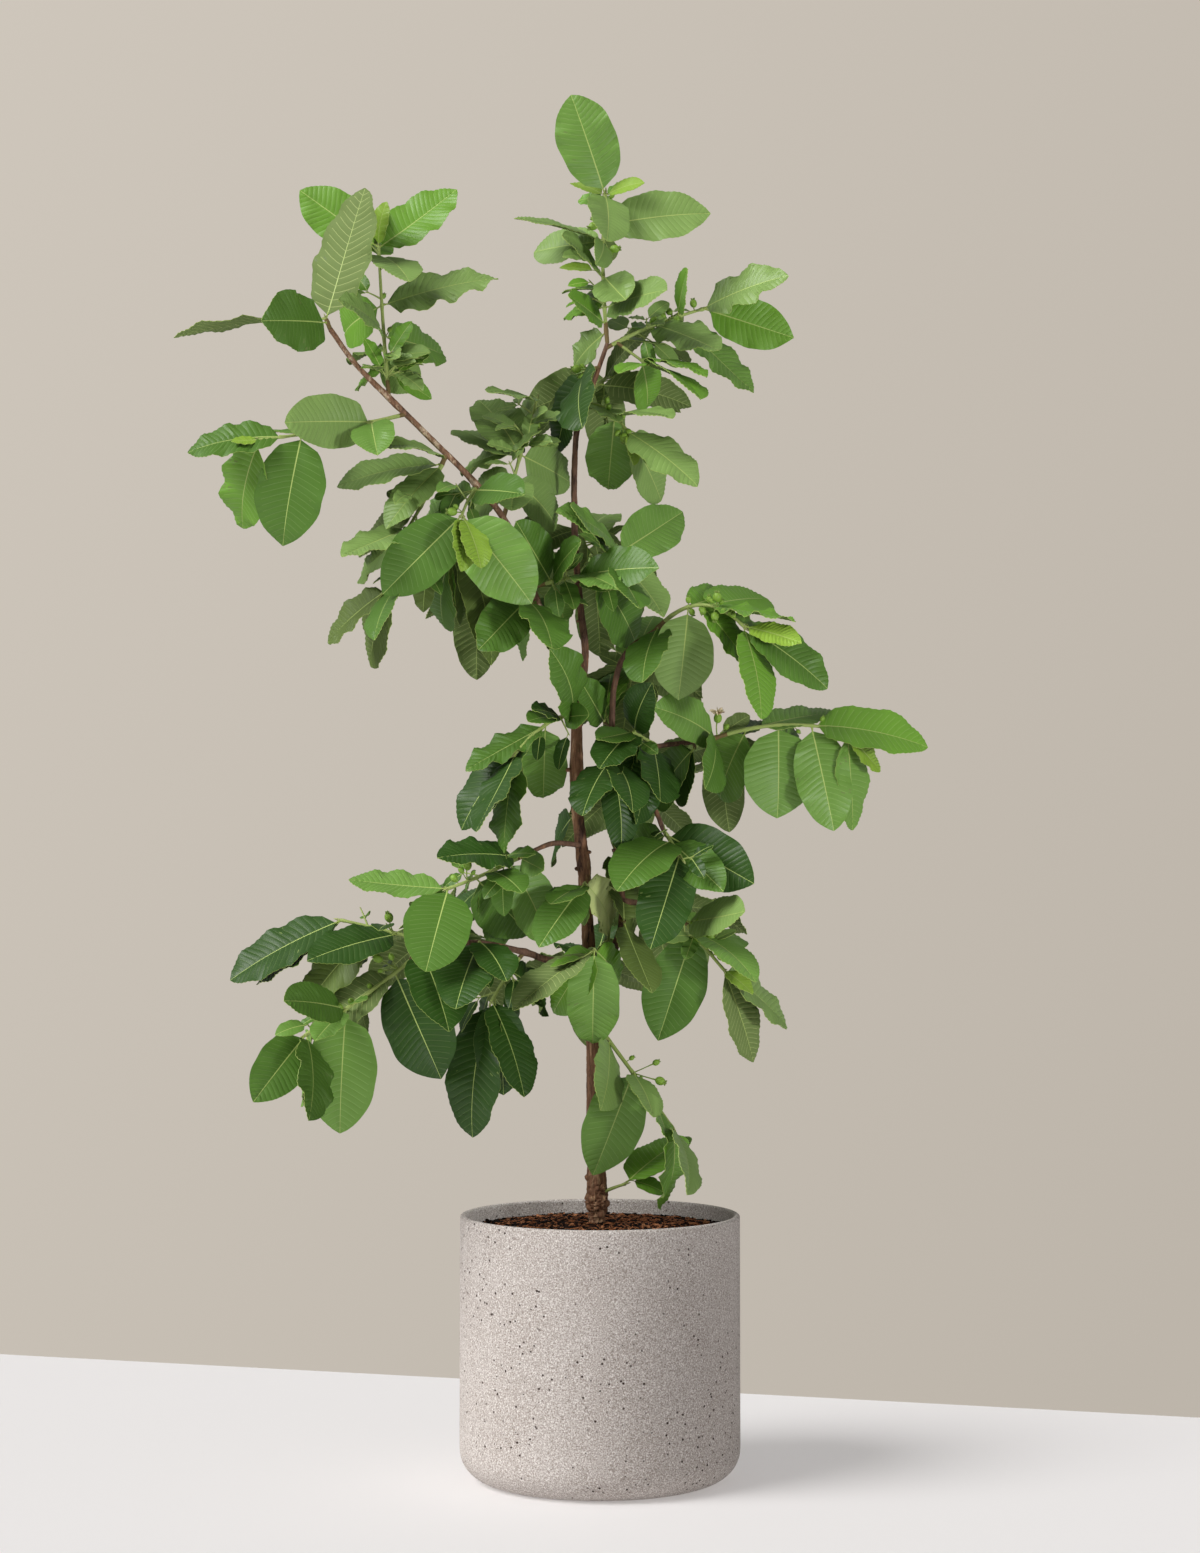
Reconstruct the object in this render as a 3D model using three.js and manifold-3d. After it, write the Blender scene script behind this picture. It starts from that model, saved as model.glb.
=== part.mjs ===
// A young guava tree in a round fibre-concrete pot: trunk, boughs, masses of leafy twigs, mix and pot.
// Millimetres, +Z up, origin at the centre of the pot's flat underside, tree seen from the front along +Y.
import * as THREE from 'three';
import { mergeVertices } from 'three/addons/utils/BufferGeometryUtils.js';
import Module from 'manifold-3d';

const wasm = await Module();
wasm.setup();

// ---- Driving sizes ----

const GAP = 0.3; // clearance between pieces that meet
const CLEAR = 0.35; // least distance from a leaf to anything of another piece

const POT = {
  radius: 150,
  height: 279,
  wall: 7,
  floor: 14,
  footRound: 32, // outer rounding under the wall
  innerRound: 25,
  lipRound: 3,
  facets: 36,
};

const SOIL = {
  edge: 264, // level against the wall
  crown: 270, // level around the trunk
  flat: 16, // radius of the level patch that the trunk stands on
  rings: 2, // steps in the slope from the patch to the wall
};

// Each limb: points its centre line runs through from foot to tip, and its radius at both ends.
// Swellings are [share of the limb, extra radius, half length as a share].
const LIMBS = {
  trunk: {
    path: [[-3, 0, 270.3], [-3, 0, 300], [-5, 0, 380], [-6.5, 0, 470], [-12.5, 0, 572], [-18, 0, 655],
      [-25, 0, 725], [-25, 0, 838]],
    foot: 7,
    tip: 6.4,
    swellings: [[0, 3.2, 0.06], [0.125, 4.6, 0.07], [0.33, 2.6, 0.17], [0.72, 1.2, 0.02], [0.9, 1.4, 0.02]],
    sides: 8,
    steps: 22,
  },
  leader: {
    path: [[-23.5, 1, 832], [-20, 3, 843], [-16, 7, 885], [-22, 6, 940], [-27, 6, 1005], [-28, 4, 1074],
      [-24, 2, 1133], [-10, 0, 1168], [8, 0, 1220]],
    foot: 4.6,
    tip: 2.5,
    swellings: [[0.75, 1, 0.03]],
    sides: 6,
    steps: 16,
  },
  left_bough: {
    path: [[-26.5, -1, 832], [-29, -3, 843], [-36, -8, 864], [-50, -16, 893], [-81, -32, 970],
      [-97, -42, 1013], [-130, -52, 1056], [-193, -68, 1118], [-254, -80, 1177], [-285, -86, 1218]],
    foot: 4.8,
    tip: 2.6,
    swellings: [[0.67, 0.8, 0.02], [0.82, 0.8, 0.02]],
    sides: 6,
    steps: 18,
  },
  right_stem: {
    path: [[-4, 2, 488], [14, 14, 556], [24, 18, 593], [22, 20, 637], [14, 20, 734], [13, 18, 803],
      [16, 16, 850], [30, 6, 885], [59, -8, 905]],
    foot: 4.6,
    tip: 2.8,
    swellings: [],
    sides: 6,
    steps: 16,
  },
  lower_left_bough: {
    path: [[-10, -1, 546], [-54, -18, 551], [-81, -30, 560], [-129, -56, 570], [-181, -80, 568]],
    foot: 4.2,
    tip: 2.8,
    swellings: [[0.5, 0.8, 0.03]],
    sides: 5,
    steps: 8,
  },
  middle_left_bough: {
    path: [[-18, -1, 674], [-50, -20, 676], [-82, -40, 663]],
    foot: 3,
    tip: 2.4,
    swellings: [],
    sides: 5,
    steps: 4,
  },
  right_bough: {
    path: [[14, 20, 760], [54, 34, 781], [98, 46, 788], [123, 52, 792]],
    foot: 3.2,
    tip: 2.5,
    swellings: [],
    sides: 5,
    steps: 6,
  },
  lower_right_bough: {
    path: [[14, 20, 727], [40, 18, 729], [58, 14, 716], [69, 8, 690]],
    foot: 3.2,
    tip: 2.5,
    swellings: [],
    sides: 5,
    steps: 6,
  },
  low_right_bough: {
    path: [[23, 19, 614], [55, 8, 610], [88, -4, 597]],
    foot: 3.2,
    tip: 2.5,
    swellings: [],
    sides: 5,
    steps: 4,
  },
};

// What each limb grows out of, or passes closely enough to be trimmed by.
const PARENTS = {
  leader: ['trunk'],
  left_bough: ['trunk', 'leader'],
  right_stem: ['trunk'],
  lower_left_bough: ['trunk'],
  middle_left_bough: ['trunk'],
  right_bough: ['right_stem'],
  lower_right_bough: ['right_stem'],
  low_right_bough: ['right_stem'],
};

const LEAF = {
  full: 108, // usual length of a grown leaf
  lengths: [0.9, 1.1], // least and most of that length
  foreshortened: 1.8, // the most that a leaf may be longer than it looks from the front
  slender: 0.47, // breadth as a share of length
  widths: [0.92, 1.08], // least and most of that breadth
  bows: [-0.02, 0.08], // how high the blade arches between foot and tip, as a share of its length
  folds: [0.05, 0.22], // how steeply the two halves rise from the midrib
  thick: 0.014, // thickness along the midrib as a share of length
  thinnest: 1.5,
  petiole: 0.8, // half breadth at its foot
  rings: [0, 0.28, 0.66, 1], // where along the blade its outline is set
  squareness: 2.3, // how long the blade keeps its breadth
  roundness: 0.6, // how bluntly it ends
  awayShare: 0.3, // share of the leaves that lean away from the front
  level: 0.25, // a blade whose upper side faces the sky by less than this turns it outwards
  bare: 0.2, // share of a leaf at its foot that may lie over its neighbour's
  tries: 12, // ways a leaf may be turned before it is left out
  nudge: 0.05, // hours that each try may turn a leaf further
};

const YOUNG = { slender: 0.36, stretch: 1.1 }; // a folded leaf at a growing tip
const TWIG = { foot: 2.5, tip: 1.6, sides: 3, steps: 3, sway: 0.03, bow: 0.02 };
const SIDE_TWIG = { ...TWIG, foot: 2, tip: 1.4, steps: 2 };

// Leaves in crossed pairs on the rear stems.
const PAIRS = {
  first: 0.35, // share of the stem where the first pair stands
  turn: 0.4, // most that a leaf strays round the stem
  ahead: [0.3, 0.8], // how far a leaf leans along the stem, and how far it hangs
  lengths: [0.85, 1.15],
  widths: [0.9, 1.1],
  bows: [0, 0.1],
  twist: 0.6,
  light: [0, 0.5, 0.85], // where their upper sides face
};

const FRUIT = { radius: 4.8, length: 6, stalk: 1.1, towards: 0.4 };
const DEEPEST_FOOT = 0.985; // share of a stem where a leaf at its very tip is rooted
const HOUR = Math.PI / 6; // a clock face's hour as an angle

// ---- The crown's masses of leaves ----
// A mass: the limb it grows from, the share of that limb, a seed, and the reach of its stem.
// A node is a share of the stem and the leaves there. A leaf is the hour it points to as seen from the
// front, how far it reaches across that view, and how broad it looks in it. A young leaf has an hour and a
// reach, a fruit a share of the stem, an hour and the length of its stalk.
const MASSES = [
  {
    name: 'top', limb: 'leader', share: 1, seed: 9, stem: [-2, -5, 163],
    nodes: [
      [0.07, [7.9, 48, 32]],
      [0.22, [9.3, 44, 28], [2.95, 65, 42]],
      [0.43, [5, 47, 43], [10.2, 49, 17]],
      [0.66, [9.2, 80, 40], [9.5, 100, 12], [6.2, 36, 20]],
      [0.77, [2.75, 118, 54]],
      [1, [5.9, 66, 42], [11.35, 112, 60]],
    ],
    young: [[10, 44], [2.5, 43]],
    fruits: [[0.8, 8, 14], [0.6, 3, 14]],
  },
  {
    name: 'upper_right', limb: 'leader', share: 0.987, seed: 9, stem: [110, 34, 51],
    nodes: [
      [0.2, [3.1, 75, 13]],
      [0.52, [4, 79, 41]],
      [0.74, [0.4, 40, 15], [4.5, 118, 34]],
      [1, [3.6, 104, 50]],
      [0.97, [2.5, 92, 40]],
    ],
    twigs: [
      {
        start: 0.12, reach: [34, -16, -28],
        nodes: [[0.8, [5.6, 45, 32], [3.7, 74, 15]], [1, [4.3, 74, 17], [8.1, 36, 15]]],
      },
    ],
    fruits: [[0.66, 4.5, 16]],
  },
  {
    name: 'upper_left', limb: 'leader', share: 0.939, seed: 5, stem: [-14, -12, -6],
    nodes: [[1, [6.8, 90, 32], [6.2, 75, 28]]],
    fruits: [[0.8, 9, 14]],
  },
  {
    name: 'shoulder_right', limb: 'leader', share: 0.811, seed: 15, stem: [49, -55, -38], bow: 12,
    nodes: [[0.1, [4.2, 42, 15]], [0.72, [3.3, 60, 15], [6.2, 72, 50]], [1, [4.9, 74, 40], [4.35, 96, 38]]],
    young: [[5.7, 39]],
    fruits: [[0.9, 6, 14]],
  },
  {
    name: 'middle_right', limb: 'leader', share: 0.404, seed: 12, stem: [46, -40, 34],
    nodes: [[0.85, [10.6, 61, 13], [4.7, 86, 30]], [1, [1.75, 88, 50], [10, 75, 20]]],
  },
  {
    name: 'middle', limb: 'left_bough', share: 0.414, seed: 16, stem: [92, -46, 15],
    nodes: [
      [0.23, [1.4, 47, 24], [5.4, 42, 35], [10.9, 66, 40]],
      [0.5, [2.9, 84, 44], [3.8, 50, 24]],
      [0.74, [4.8, 84, 50]],
      [1, [5.1, 53, 22]],
    ],
  },
  {
    name: 'fork', limb: 'left_bough', share: 0.387, seed: 2, stem: [-14, -18, 6],
    nodes: [[1, [7.3, 74, 49], [6.2, 57, 26], [5.1, 66, 36]]],
  },
  {
    name: 'left_tip', limb: 'left_bough', share: 1, seed: 1, stem: [-4, -4, 10],
    nodes: [[0.6, [8.5, 58, 60]], [1, [0.5, 146, 58], [8.8, 162, 14]]],
  },
  {
    name: 'left_spire', limb: 'left_bough', share: 0.83, seed: 11, stem: [-14, 30, 170],
    nodes: [
      [0.21, [8.5, 39, 19]],
      [0.32, [4.7, 42, 41], [9, 40, 12]],
      [0.42, [3.1, 66, 42], [10, 48, 22]],
      [0.62, [2.5, 128, 43], [8.2, 54, 49]],
      [0.93, [10.9, 52, 28], [4.6, 58, 34]],
      [1, [10.3, 108, 52], [1.65, 108, 48]],
    ],
    young: [[11.9, 50], [0.4, 46]],
  },
  {
    name: 'left_low', limb: 'left_bough', share: 0.8, seed: 2, stem: [-151, -52, -36],
    nodes: [
      [0.25, [8.8, 86, 54], [5.5, 45, 43]],
      [0.72, [6.35, 120, 66], [9.6, 40, 15]],
      [0.84, [8.75, 102, 36]],
      [1, [6.6, 89, 50]],
    ],
    young: [[8.8, 28]],
  },
  {
    name: 'left_front', limb: 'left_bough', share: 0.667, seed: 7, stem: [-14, -62, -40],
    nodes: [[0.15, [8.2, 72, 30], [3.5, 56, 40]], [1, [7.5, 117, 59], [4.7, 118, 65]]],
    young: [[6, 62], [5.3, 62]],
    fruits: [[0.9, 9, 12]],
  },
  {
    name: 'left_side', limb: 'left_bough', share: 0.728, seed: 6, stem: [-44, -24, -90],
    nodes: [
      [0.05, [9, 66, 22]],
      [0.12, [8.6, 114, 30], [7.3, 92, 36]],
      [0.62, [7.9, 86, 32]],
      [1, [7.9, 66, 32], [6.8, 60, 25]],
    ],
  },
  {
    name: 'left_under', limb: 'left_bough', share: 0.556, seed: 16, stem: [-130, -20, -70],
    nodes: [
      [0.35, [5.5, 130, 43]],
      [0.47, [6.3, 72, 35], [5.8, 70, 22]],
      [0.84, [6.7, 76, 24]],
      [1, [7.8, 87, 28], [6.7, 80, 40]],
    ],
  },
  {
    name: 'inner_left', limb: 'left_bough', share: 0.582, seed: 16, stem: [35, 44, 137],
    nodes: [
      [0.3, [6, 42, 42], [8, 66, 43], [4.4, 62, 40]],
      [0.5, [10.9, 90, 48], [3.6, 57, 49]],
      [0.47, [10.1, 84, 32]],
      [1, [8.9, 49, 15], [7.5, 46, 24]],
    ],
    fruits: [[0.8, 3, 14]],
  },
  {
    name: 'right_tip', limb: 'right_stem', share: 1, seed: 16, stem: [94, -58, -1], bow: 24,
    nodes: [
      [0.04, [6.6, 66, 38]],
      [0.18, [10.6, 62, 34]],
      [0.38, [6.2, 102, 60], [2.5, 72, 34]],
      [0.52, [4.75, 104, 30]],
      [0.6, [2.5, 73, 35], [3.4, 93, 15]],
      [0.82, [3.9, 90, 17]],
      [1, [4.2, 112, 41], [5.6, 102, 34]],
    ],
    young: [[3.6, 63]],
    fruits: [[0.2, 11, 14], [0.45, 1, 14], [0.7, 12, 12]],
  },
  {
    name: 'stem_right', limb: 'right_stem', share: 0.625, seed: 1, stem: [-8, 20, 6],
    nodes: [[1, [0.7, 80, 43], [11, 45, 30]]],
  },
  {
    name: 'stem_front', limb: 'right_stem', share: 0.54, seed: 16, stem: [-2, -34, 6],
    nodes: [[1, [6.9, 67, 39], [5.2, 60, 30]]],
  },
  {
    name: 'centre', limb: 'right_bough', share: 0.4, seed: 1, stem: [-28, -36, 14],
    nodes: [[0.2, [5.8, 67, 39], [6.3, 90, 36]], [1, [7.4, 53, 37], [8.5, 40, 20]]],
  },
  {
    name: 'centre_right', limb: 'right_bough', share: 0.72, seed: 5, stem: [0, -26, -8],
    nodes: [[1, [6.7, 60, 34], [7.1, 75, 34]]],
  },
  {
    name: 'far_right', limb: 'right_bough', share: 1, seed: 3, stem: [149, -22, 6], bow: 10,
    nodes: [
      [0.02, [9.8, 74, 44], [6.4, 60, 25]],
      [0.25, [7, 83, 49]],
      [0.31, [2.6, 99, 27]],
      [0.48, [6, 103, 71], [5.1, 80, 24]],
      [0.72, [5.6, 118, 56], [3.35, 130, 44]],
      [1, [5.75, 108, 38]],
    ],
    young: [[4.5, 58]],
    fruits: [[0.04, 12, 22]],
  },
  {
    name: 'right_fan', limb: 'lower_right_bough', share: 1, seed: 6, stem: [20, -66, -34],
    nodes: [[0.1, [4, 104, 60], [7.7, 74, 43]], [0.3, [4.5, 76, 42]], [0.75, [6.6, 104, 54]]],
  },
  {
    name: 'right_low', limb: 'low_right_bough', share: 1, seed: 12, stem: [44, -34, -56],
    nodes: [
      [0.1, [2.6, 60, 34], [3.7, 72, 22]],
      [0.3, [6.6, 122, 60], [4.2, 81, 22]],
      [1, [4.3, 97, 22], [5.3, 108, 34]],
    ],
    young: [[4.3, 40]],
    fruits: [[0.3, 1, 14], [0.5, 2, 12], [0.7, 3.5, 14]],
  },
  {
    name: 'centre_low', limb: 'right_bough', share: 0.3, seed: 9, stem: [0, 16, -52],
    nodes: [[1, [6.7, 60, 32], [5.5, 60, 32]]],
  },
  {
    name: 'stem_low', limb: 'right_stem', share: 0.25, seed: 12, stem: [2, -22, -2],
    nodes: [[1, [5.2, 76, 27], [5.6, 50, 15]]],
  },
  {
    name: 'trunk_middle', limb: 'trunk', share: 0.668, seed: 6, stem: [0, -48, 4],
    nodes: [[0.7, [8.1, 40, 17]], [1, [5, 63, 30], [7.2, 81, 43]]],
  },
  {
    name: 'front', limb: 'trunk', share: 0.556, seed: 10, stem: [6, -78, 2],
    nodes: [[0.8, [7.8, 103, 26], [4.8, 51, 30]], [1, [7.2, 84, 43], [6, 104, 52]]],
  },
  {
    name: 'trunk_left', limb: 'trunk', share: 0.97, seed: 4, stem: [-65, -66, -44], bow: 14,
    nodes: [
      [0.3, [9.4, 30, 15], [3, 30, 26]],
      [0.36, [8.7, 30, 15]],
      [0.55, [6.1, 76, 48], [8.05, 96, 26]],
      [0.78, [7.3, 124, 36]],
      [1, [6.3, 107, 34], [6.9, 92, 28]],
    ],
  },
  {
    name: 'middle_left', limb: 'middle_left_bough', share: 1, seed: 4, stem: [-79, -36, -36],
    nodes: [
      [0.06, [9, 83, 31], [3.9, 30, 27]],
      [0.45, [4, 40, 22]],
      [0.65, [4.6, 86, 59]],
      [1, [9.2, 105, 24], [6.4, 84, 65]],
    ],
    fruits: [[0.75, 12, 18]],
  },
  {
    name: 'trunk_sprig', limb: 'trunk', share: 0.816, seed: 12, stem: [-6, 12, 4],
    nodes: [[1, [6.9, 54, 17]]],
  },
  {
    name: 'low_left_tip', limb: 'lower_left_bough', share: 1, seed: 6, stem: [-124, -46, -92],
    nodes: [
      [0.05, [5.2, 85, 49]],
      [0.28, [5.2, 122, 65], [7.8, 112, 38]],
      [0.68, [6.1, 131, 66], [7.4, 39, 24]],
      [0.95, [6.4, 82, 14]],
      [1, [7.2, 80, 48], [5.7, 83, 26]],
    ],
    fruits: [[0.25, 10, 26]],
  },
  {
    name: 'low_left_upper', limb: 'lower_left_bough', share: 0.95, seed: 1, stem: [-104, 14, 26],
    nodes: [[0.4, [8.5, 93, 35]], [0.64, [7.4, 118, 45]], [1, [8.1, 134, 38], [7.9, 112, 20]]],
    fruits: [[0.45, 11.5, 18]],
  },
  {
    name: 'low_left_inner', limb: 'lower_left_bough', share: 0.75, seed: 6, stem: [2, -18, 2],
    nodes: [[1, [6.6, 66, 54], [4.6, 50, 30]]],
  },
  {
    name: 'low_left_hang', limb: 'lower_left_bough', share: 0.5, seed: 5, stem: [-34, -26, -52],
    nodes: [[0.4, [4.6, 60, 20]], [0.9, [5.8, 106, 52]], [1, [6.3, 147, 52], [5.3, 104, 34]]],
  },
  {
    name: 'low_right', limb: 'trunk', share: 0.452, seed: 1, stem: [85, -60, -112],
    nodes: [
      [0.2, [6.15, 66, 26]],
      [0.5, [6.7, 117, 59], [5, 45, 22]],
      [0.8, [5.3, 34, 11]],
      [1, [6.2, 92, 26], [5.4, 62, 16]],
    ],
    fruits: [[0.5, 3.5, 32]],
  },
  {
    name: 'base_sprout', limb: 'trunk', share: 0.14, seed: 5, stem: [30, -20, 14],
    nodes: [[1, [1.9, 84, 30]]],
  },
];

// Masses on the far side, whose leaves stand in crossed pairs of the given length.
const REAR_MASSES = [
  {
    name: 'rear_top', limb: 'leader', share: 0.877, seed: 1,
    stem: [20, 100, 34], pairs: 3, leaf: 100,
  },
  {
    name: 'rear_upper_left', limb: 'left_bough', share: 0.484, seed: 4,
    stem: [-44, 130, -10], pairs: 4, leaf: 105,
  },
  {
    name: 'rear_upper_right', limb: 'leader', share: 0.562, seed: 15,
    stem: [22, 115, -48], pairs: 4, leaf: 105,
  },
  {
    name: 'rear_middle_right', limb: 'right_stem', share: 0.86, seed: 11,
    stem: [16, 124, -14], pairs: 4, leaf: 105,
  },
  {
    name: 'rear_right', limb: 'right_bough', share: 0.85, seed: 10,
    stem: [34, 112, -14], pairs: 3, leaf: 105,
  },
  {
    name: 'rear_centre', limb: 'right_stem', share: 0.5, seed: 15,
    stem: [30, 140, 0], pairs: 3, leaf: 105,
  },
  {
    name: 'rear_low_right', limb: 'right_stem', share: 0.3, seed: 9,
    stem: [70, 115, 0], pairs: 4, leaf: 105,
  },
  {
    name: 'rear_low_left', limb: 'lower_left_bough', share: 0.85, seed: 8,
    stem: [-30, 140, 14], pairs: 4, leaf: 105,
  },
  {
    name: 'rear_low', limb: 'trunk', share: 0.534, seed: 9,
    stem: [5, 130, -8], pairs: 4, leaf: 95,
  },
];

// ---- Chance, the same on every run ----

const SPREAD = 2654435761;
const START = 12345;
const STRIDE = 0x6d2b79f5;
const WORD = 4294967296;
const SEEDS_A_MASS = 4096;
const SEEDS_A_LEAF = 16;

/** A seeded run of random numbers between a low and a high value. */
function diceOf(seed) {
  let state = (seed * SPREAD + START) >>> 0;
  return (low, high) => {
    state = (state + STRIDE) >>> 0;
    let mixed = Math.imul(state ^ (state >>> 15), state | 1);
    mixed ^= mixed + Math.imul(mixed ^ (mixed >>> 7), mixed | 61);
    return low + ((high - low) * ((mixed ^ (mixed >>> 14)) >>> 0)) / WORD;
  };
}

/** Each way of turning each leaf of a mass has its own dice. */
function leafDice(seed, number, attempt) {
  return diceOf(seed * SEEDS_A_MASS + number * SEEDS_A_LEAF + attempt);
}

// ---- Solids ----

/** The closed solid inside a three.js geometry whose faces point out. */
function solidOf(geometry) {
  geometry.deleteAttribute('normal');
  geometry.deleteAttribute('uv');
  const merged = mergeVertices(geometry, 1e-4);
  const corners = [];
  for (let i = 0; i < merged.index.count; i += 3) {
    const [a, b, c] = merged.index.array.slice(i, i + 3);
    if (a !== b && b !== c && c !== a) corners.push(a, b, c);
  }
  const vertProperties = new Float32Array(merged.attributes.position.array);
  return new wasm.Manifold(new wasm.Mesh({ numProp: 3, vertProperties, triVerts: new Uint32Array(corners) }));
}

/** A named mesh of a solid, in its own material. */
function meshOf(name, solid, look) {
  const { vertProperties, triVerts } = solid.getMesh();
  const geometry = new THREE.BufferGeometry();
  geometry.setAttribute('position', new THREE.BufferAttribute(vertProperties, 3));
  geometry.setIndex(new THREE.BufferAttribute(triVerts, 1));
  geometry.computeVertexNormals();
  const mesh = new THREE.Mesh(geometry, new THREE.MeshStandardMaterial(look));
  mesh.name = name;
  return mesh;
}

/** A closed tube whose rings lie where ring(along, x, z, spot) puts them; a pointed one ends in a point. */
function tube(sides, steps, pointed, ring) {
  const shape = pointed
    ? new THREE.ConeGeometry(1, 1, sides, steps)
    : new THREE.CylinderGeometry(1, 1, 1, sides, steps);
  const spots = shape.attributes.position;
  const spot = new THREE.Vector3();
  for (let i = 0; i < spots.count; i += 1) {
    const along = spots.getY(i) + 0.5;
    const taper = pointed && along < 1 ? 1 - along : 1;
    ring(along, spots.getX(i) / taper, spots.getZ(i) / taper, spot);
    spots.setXYZ(i, spot.x, spot.y, spot.z);
  }
  return solidOf(shape);
}

/** The axis that a course from foot to tip follows least. */
function crossAxis(course) {
  const shares = [Math.abs(course.x), Math.abs(course.y), Math.abs(course.z)];
  const axis = new THREE.Vector3();
  return axis.setComponent(shares.indexOf(Math.min(...shares)), 1);
}

/** A round tapering tube along a curve, lengthened past both ends by spare. */
function taperedTube(curve, sides, steps, radius, spare = 0) {
  const axis = crossAxis(curve.getPoint(1).sub(curve.getPoint(0)));
  return tube(sides, steps, false, (along, x, z, spot) => {
    const course = curve.getTangent(along);
    const across = axis.clone().cross(course).normalize();
    const over = across.clone().cross(course);
    const past = along === 0 ? -spare : (along === 1 ? spare : 0);
    spot.copy(curve.getPoint(along)).addScaledVector(course, past);
    spot.addScaledVector(across, x * radius(along)).addScaledVector(over, z * radius(along));
  });
}

// ---- Trunk and boughs ----

function limbCurve(limb) {
  const points = limb.path.map((point) => new THREE.Vector3(...point));
  return new THREE.CatmullRomCurve3(points, false, 'catmullrom', 0.5);
}

/** A limb's solid, or with a margin the sleeve that keeps its neighbours clear. */
function limbSolid(limb, margin = 0) {
  const radius = (along) => {
    let size = limb.foot + (limb.tip - limb.foot) * along + margin;
    for (const [share, height, reach] of limb.swellings) {
      size += height * Math.exp(-(((along - share) / reach) ** 2));
    }
    return size;
  };
  return taperedTube(limbCurve(limb), limb.sides, limb.steps, radius, margin);
}

/** The largest of a solid's loose parts, with any sealed hollow filled. */
function largestBody(solid) {
  const parts = solid.decompose();
  return parts.reduce((best, part) => (part.volume() > best.volume() ? part : best));
}

/** All limbs, each trimmed to leave the gap to the ones it grows out of. */
function growLimbs() {
  const limbs = {};
  for (const [name, limb] of Object.entries(LIMBS)) {
    let solid = limbSolid(limb);
    for (const parent of PARENTS[name] ?? []) solid = solid.subtract(limbSolid(LIMBS[parent], GAP));
    limbs[name] = largestBody(solid);
  }
  return limbs;
}

// ---- Twigs, leaves and fruits ----

/** A bent line from a root across a reach, swayed aside by the dice. */
function twigCurve(root, reach, bow, dice) {
  const length = reach.length();
  const sway = new THREE.Vector3();
  sway.x = dice(-TWIG.sway, TWIG.sway) * length;
  sway.y = dice(-TWIG.sway, TWIG.sway) * length;
  sway.z = bow + dice(-TWIG.bow, TWIG.bow) * length;
  const middle = root.clone().addScaledVector(reach, 0.5).addScaledVector(sway, 2);
  return new THREE.QuadraticBezierCurve3(root, middle, root.clone().add(reach));
}

function twigSolid(curve, size) {
  return taperedTube(curve, size.sides, size.steps, (along) => size.foot + (size.tip - size.foot) * along);
}

/** A leaf placed from how it looks from the front: its hour, its reach and its breadth in that view. */
function frontLeaf(foot, [hour, reach, breadth], young, attempt, dice) {
  const turned = hour + attempt * LEAF.nudge * dice(-1, 1);
  const grown = Math.max(reach, Math.min(LEAF.full * dice(...LEAF.lengths), LEAF.foreshortened * reach));
  const length = young ? reach * YOUNG.stretch : grown;
  const lean = Math.acos(Math.min(1, reach / length));
  const side = dice(0, 1) < LEAF.awayShare ? 1 : -1;
  const angle = turned * HOUR;
  const across = Math.cos(lean);
  const course = new THREE.Vector3(Math.sin(angle) * across, side * Math.sin(lean), Math.cos(angle) * across);
  const width = Math.max(breadth, length * LEAF.slender * dice(...LEAF.widths));
  const face = new THREE.Vector3(0, -1, 0).addScaledVector(course, course.y).normalize();
  const sky = course.clone().cross(face);
  if (sky.z < 0 || (Math.abs(sky.z) < LEAF.level && sky.x * foot.x < 0)) sky.negate();
  const tilt = Math.acos(Math.min(1, breadth / width));
  const normal = face.multiplyScalar(Math.cos(tilt)).addScaledVector(sky, Math.sin(tilt));
  const bow = length * dice(...LEAF.bows);
  return { foot, course, normal, length, width, bow, fold: dice(...LEAF.folds) };
}

/** A leaf on a rear stem: one of a pair that stands across the stem and hangs a little, face to the light. */
function rearLeaf(stem, row, number, dice) {
  const pair = Math.floor(number / 2);
  const along = PAIRS.first + ((1 - PAIRS.first) * pair) / (row.pairs - 1);
  const course = stem.getPoint(1).sub(stem.getPoint(0)).normalize();
  const aside = course.clone().cross(new THREE.Vector3(0, 0, 1)).normalize();
  const over = aside.clone().cross(course);
  const angle = (pair * Math.PI) / 2 + (number % 2) * Math.PI + dice(-PAIRS.turn, PAIRS.turn);
  const heading = aside.multiplyScalar(Math.cos(angle)).addScaledVector(over, Math.sin(angle));
  heading.addScaledVector(course, dice(...PAIRS.ahead));
  heading.z -= dice(...PAIRS.ahead);
  heading.normalize();
  const length = row.leaf * dice(...PAIRS.lengths);
  const light = new THREE.Vector3(...PAIRS.light);
  const normal = light.addScaledVector(heading, -light.dot(heading)).normalize();
  normal.applyAxisAngle(heading, dice(-PAIRS.twist, PAIRS.twist));
  const width = length * LEAF.slender * dice(...PAIRS.widths);
  const foot = stem.getPoint(Math.min(along, DEEPEST_FOOT));
  const bow = length * dice(...PAIRS.bows);
  return { foot, course: heading, normal, length, width, bow, fold: dice(...LEAF.folds) };
}

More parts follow.
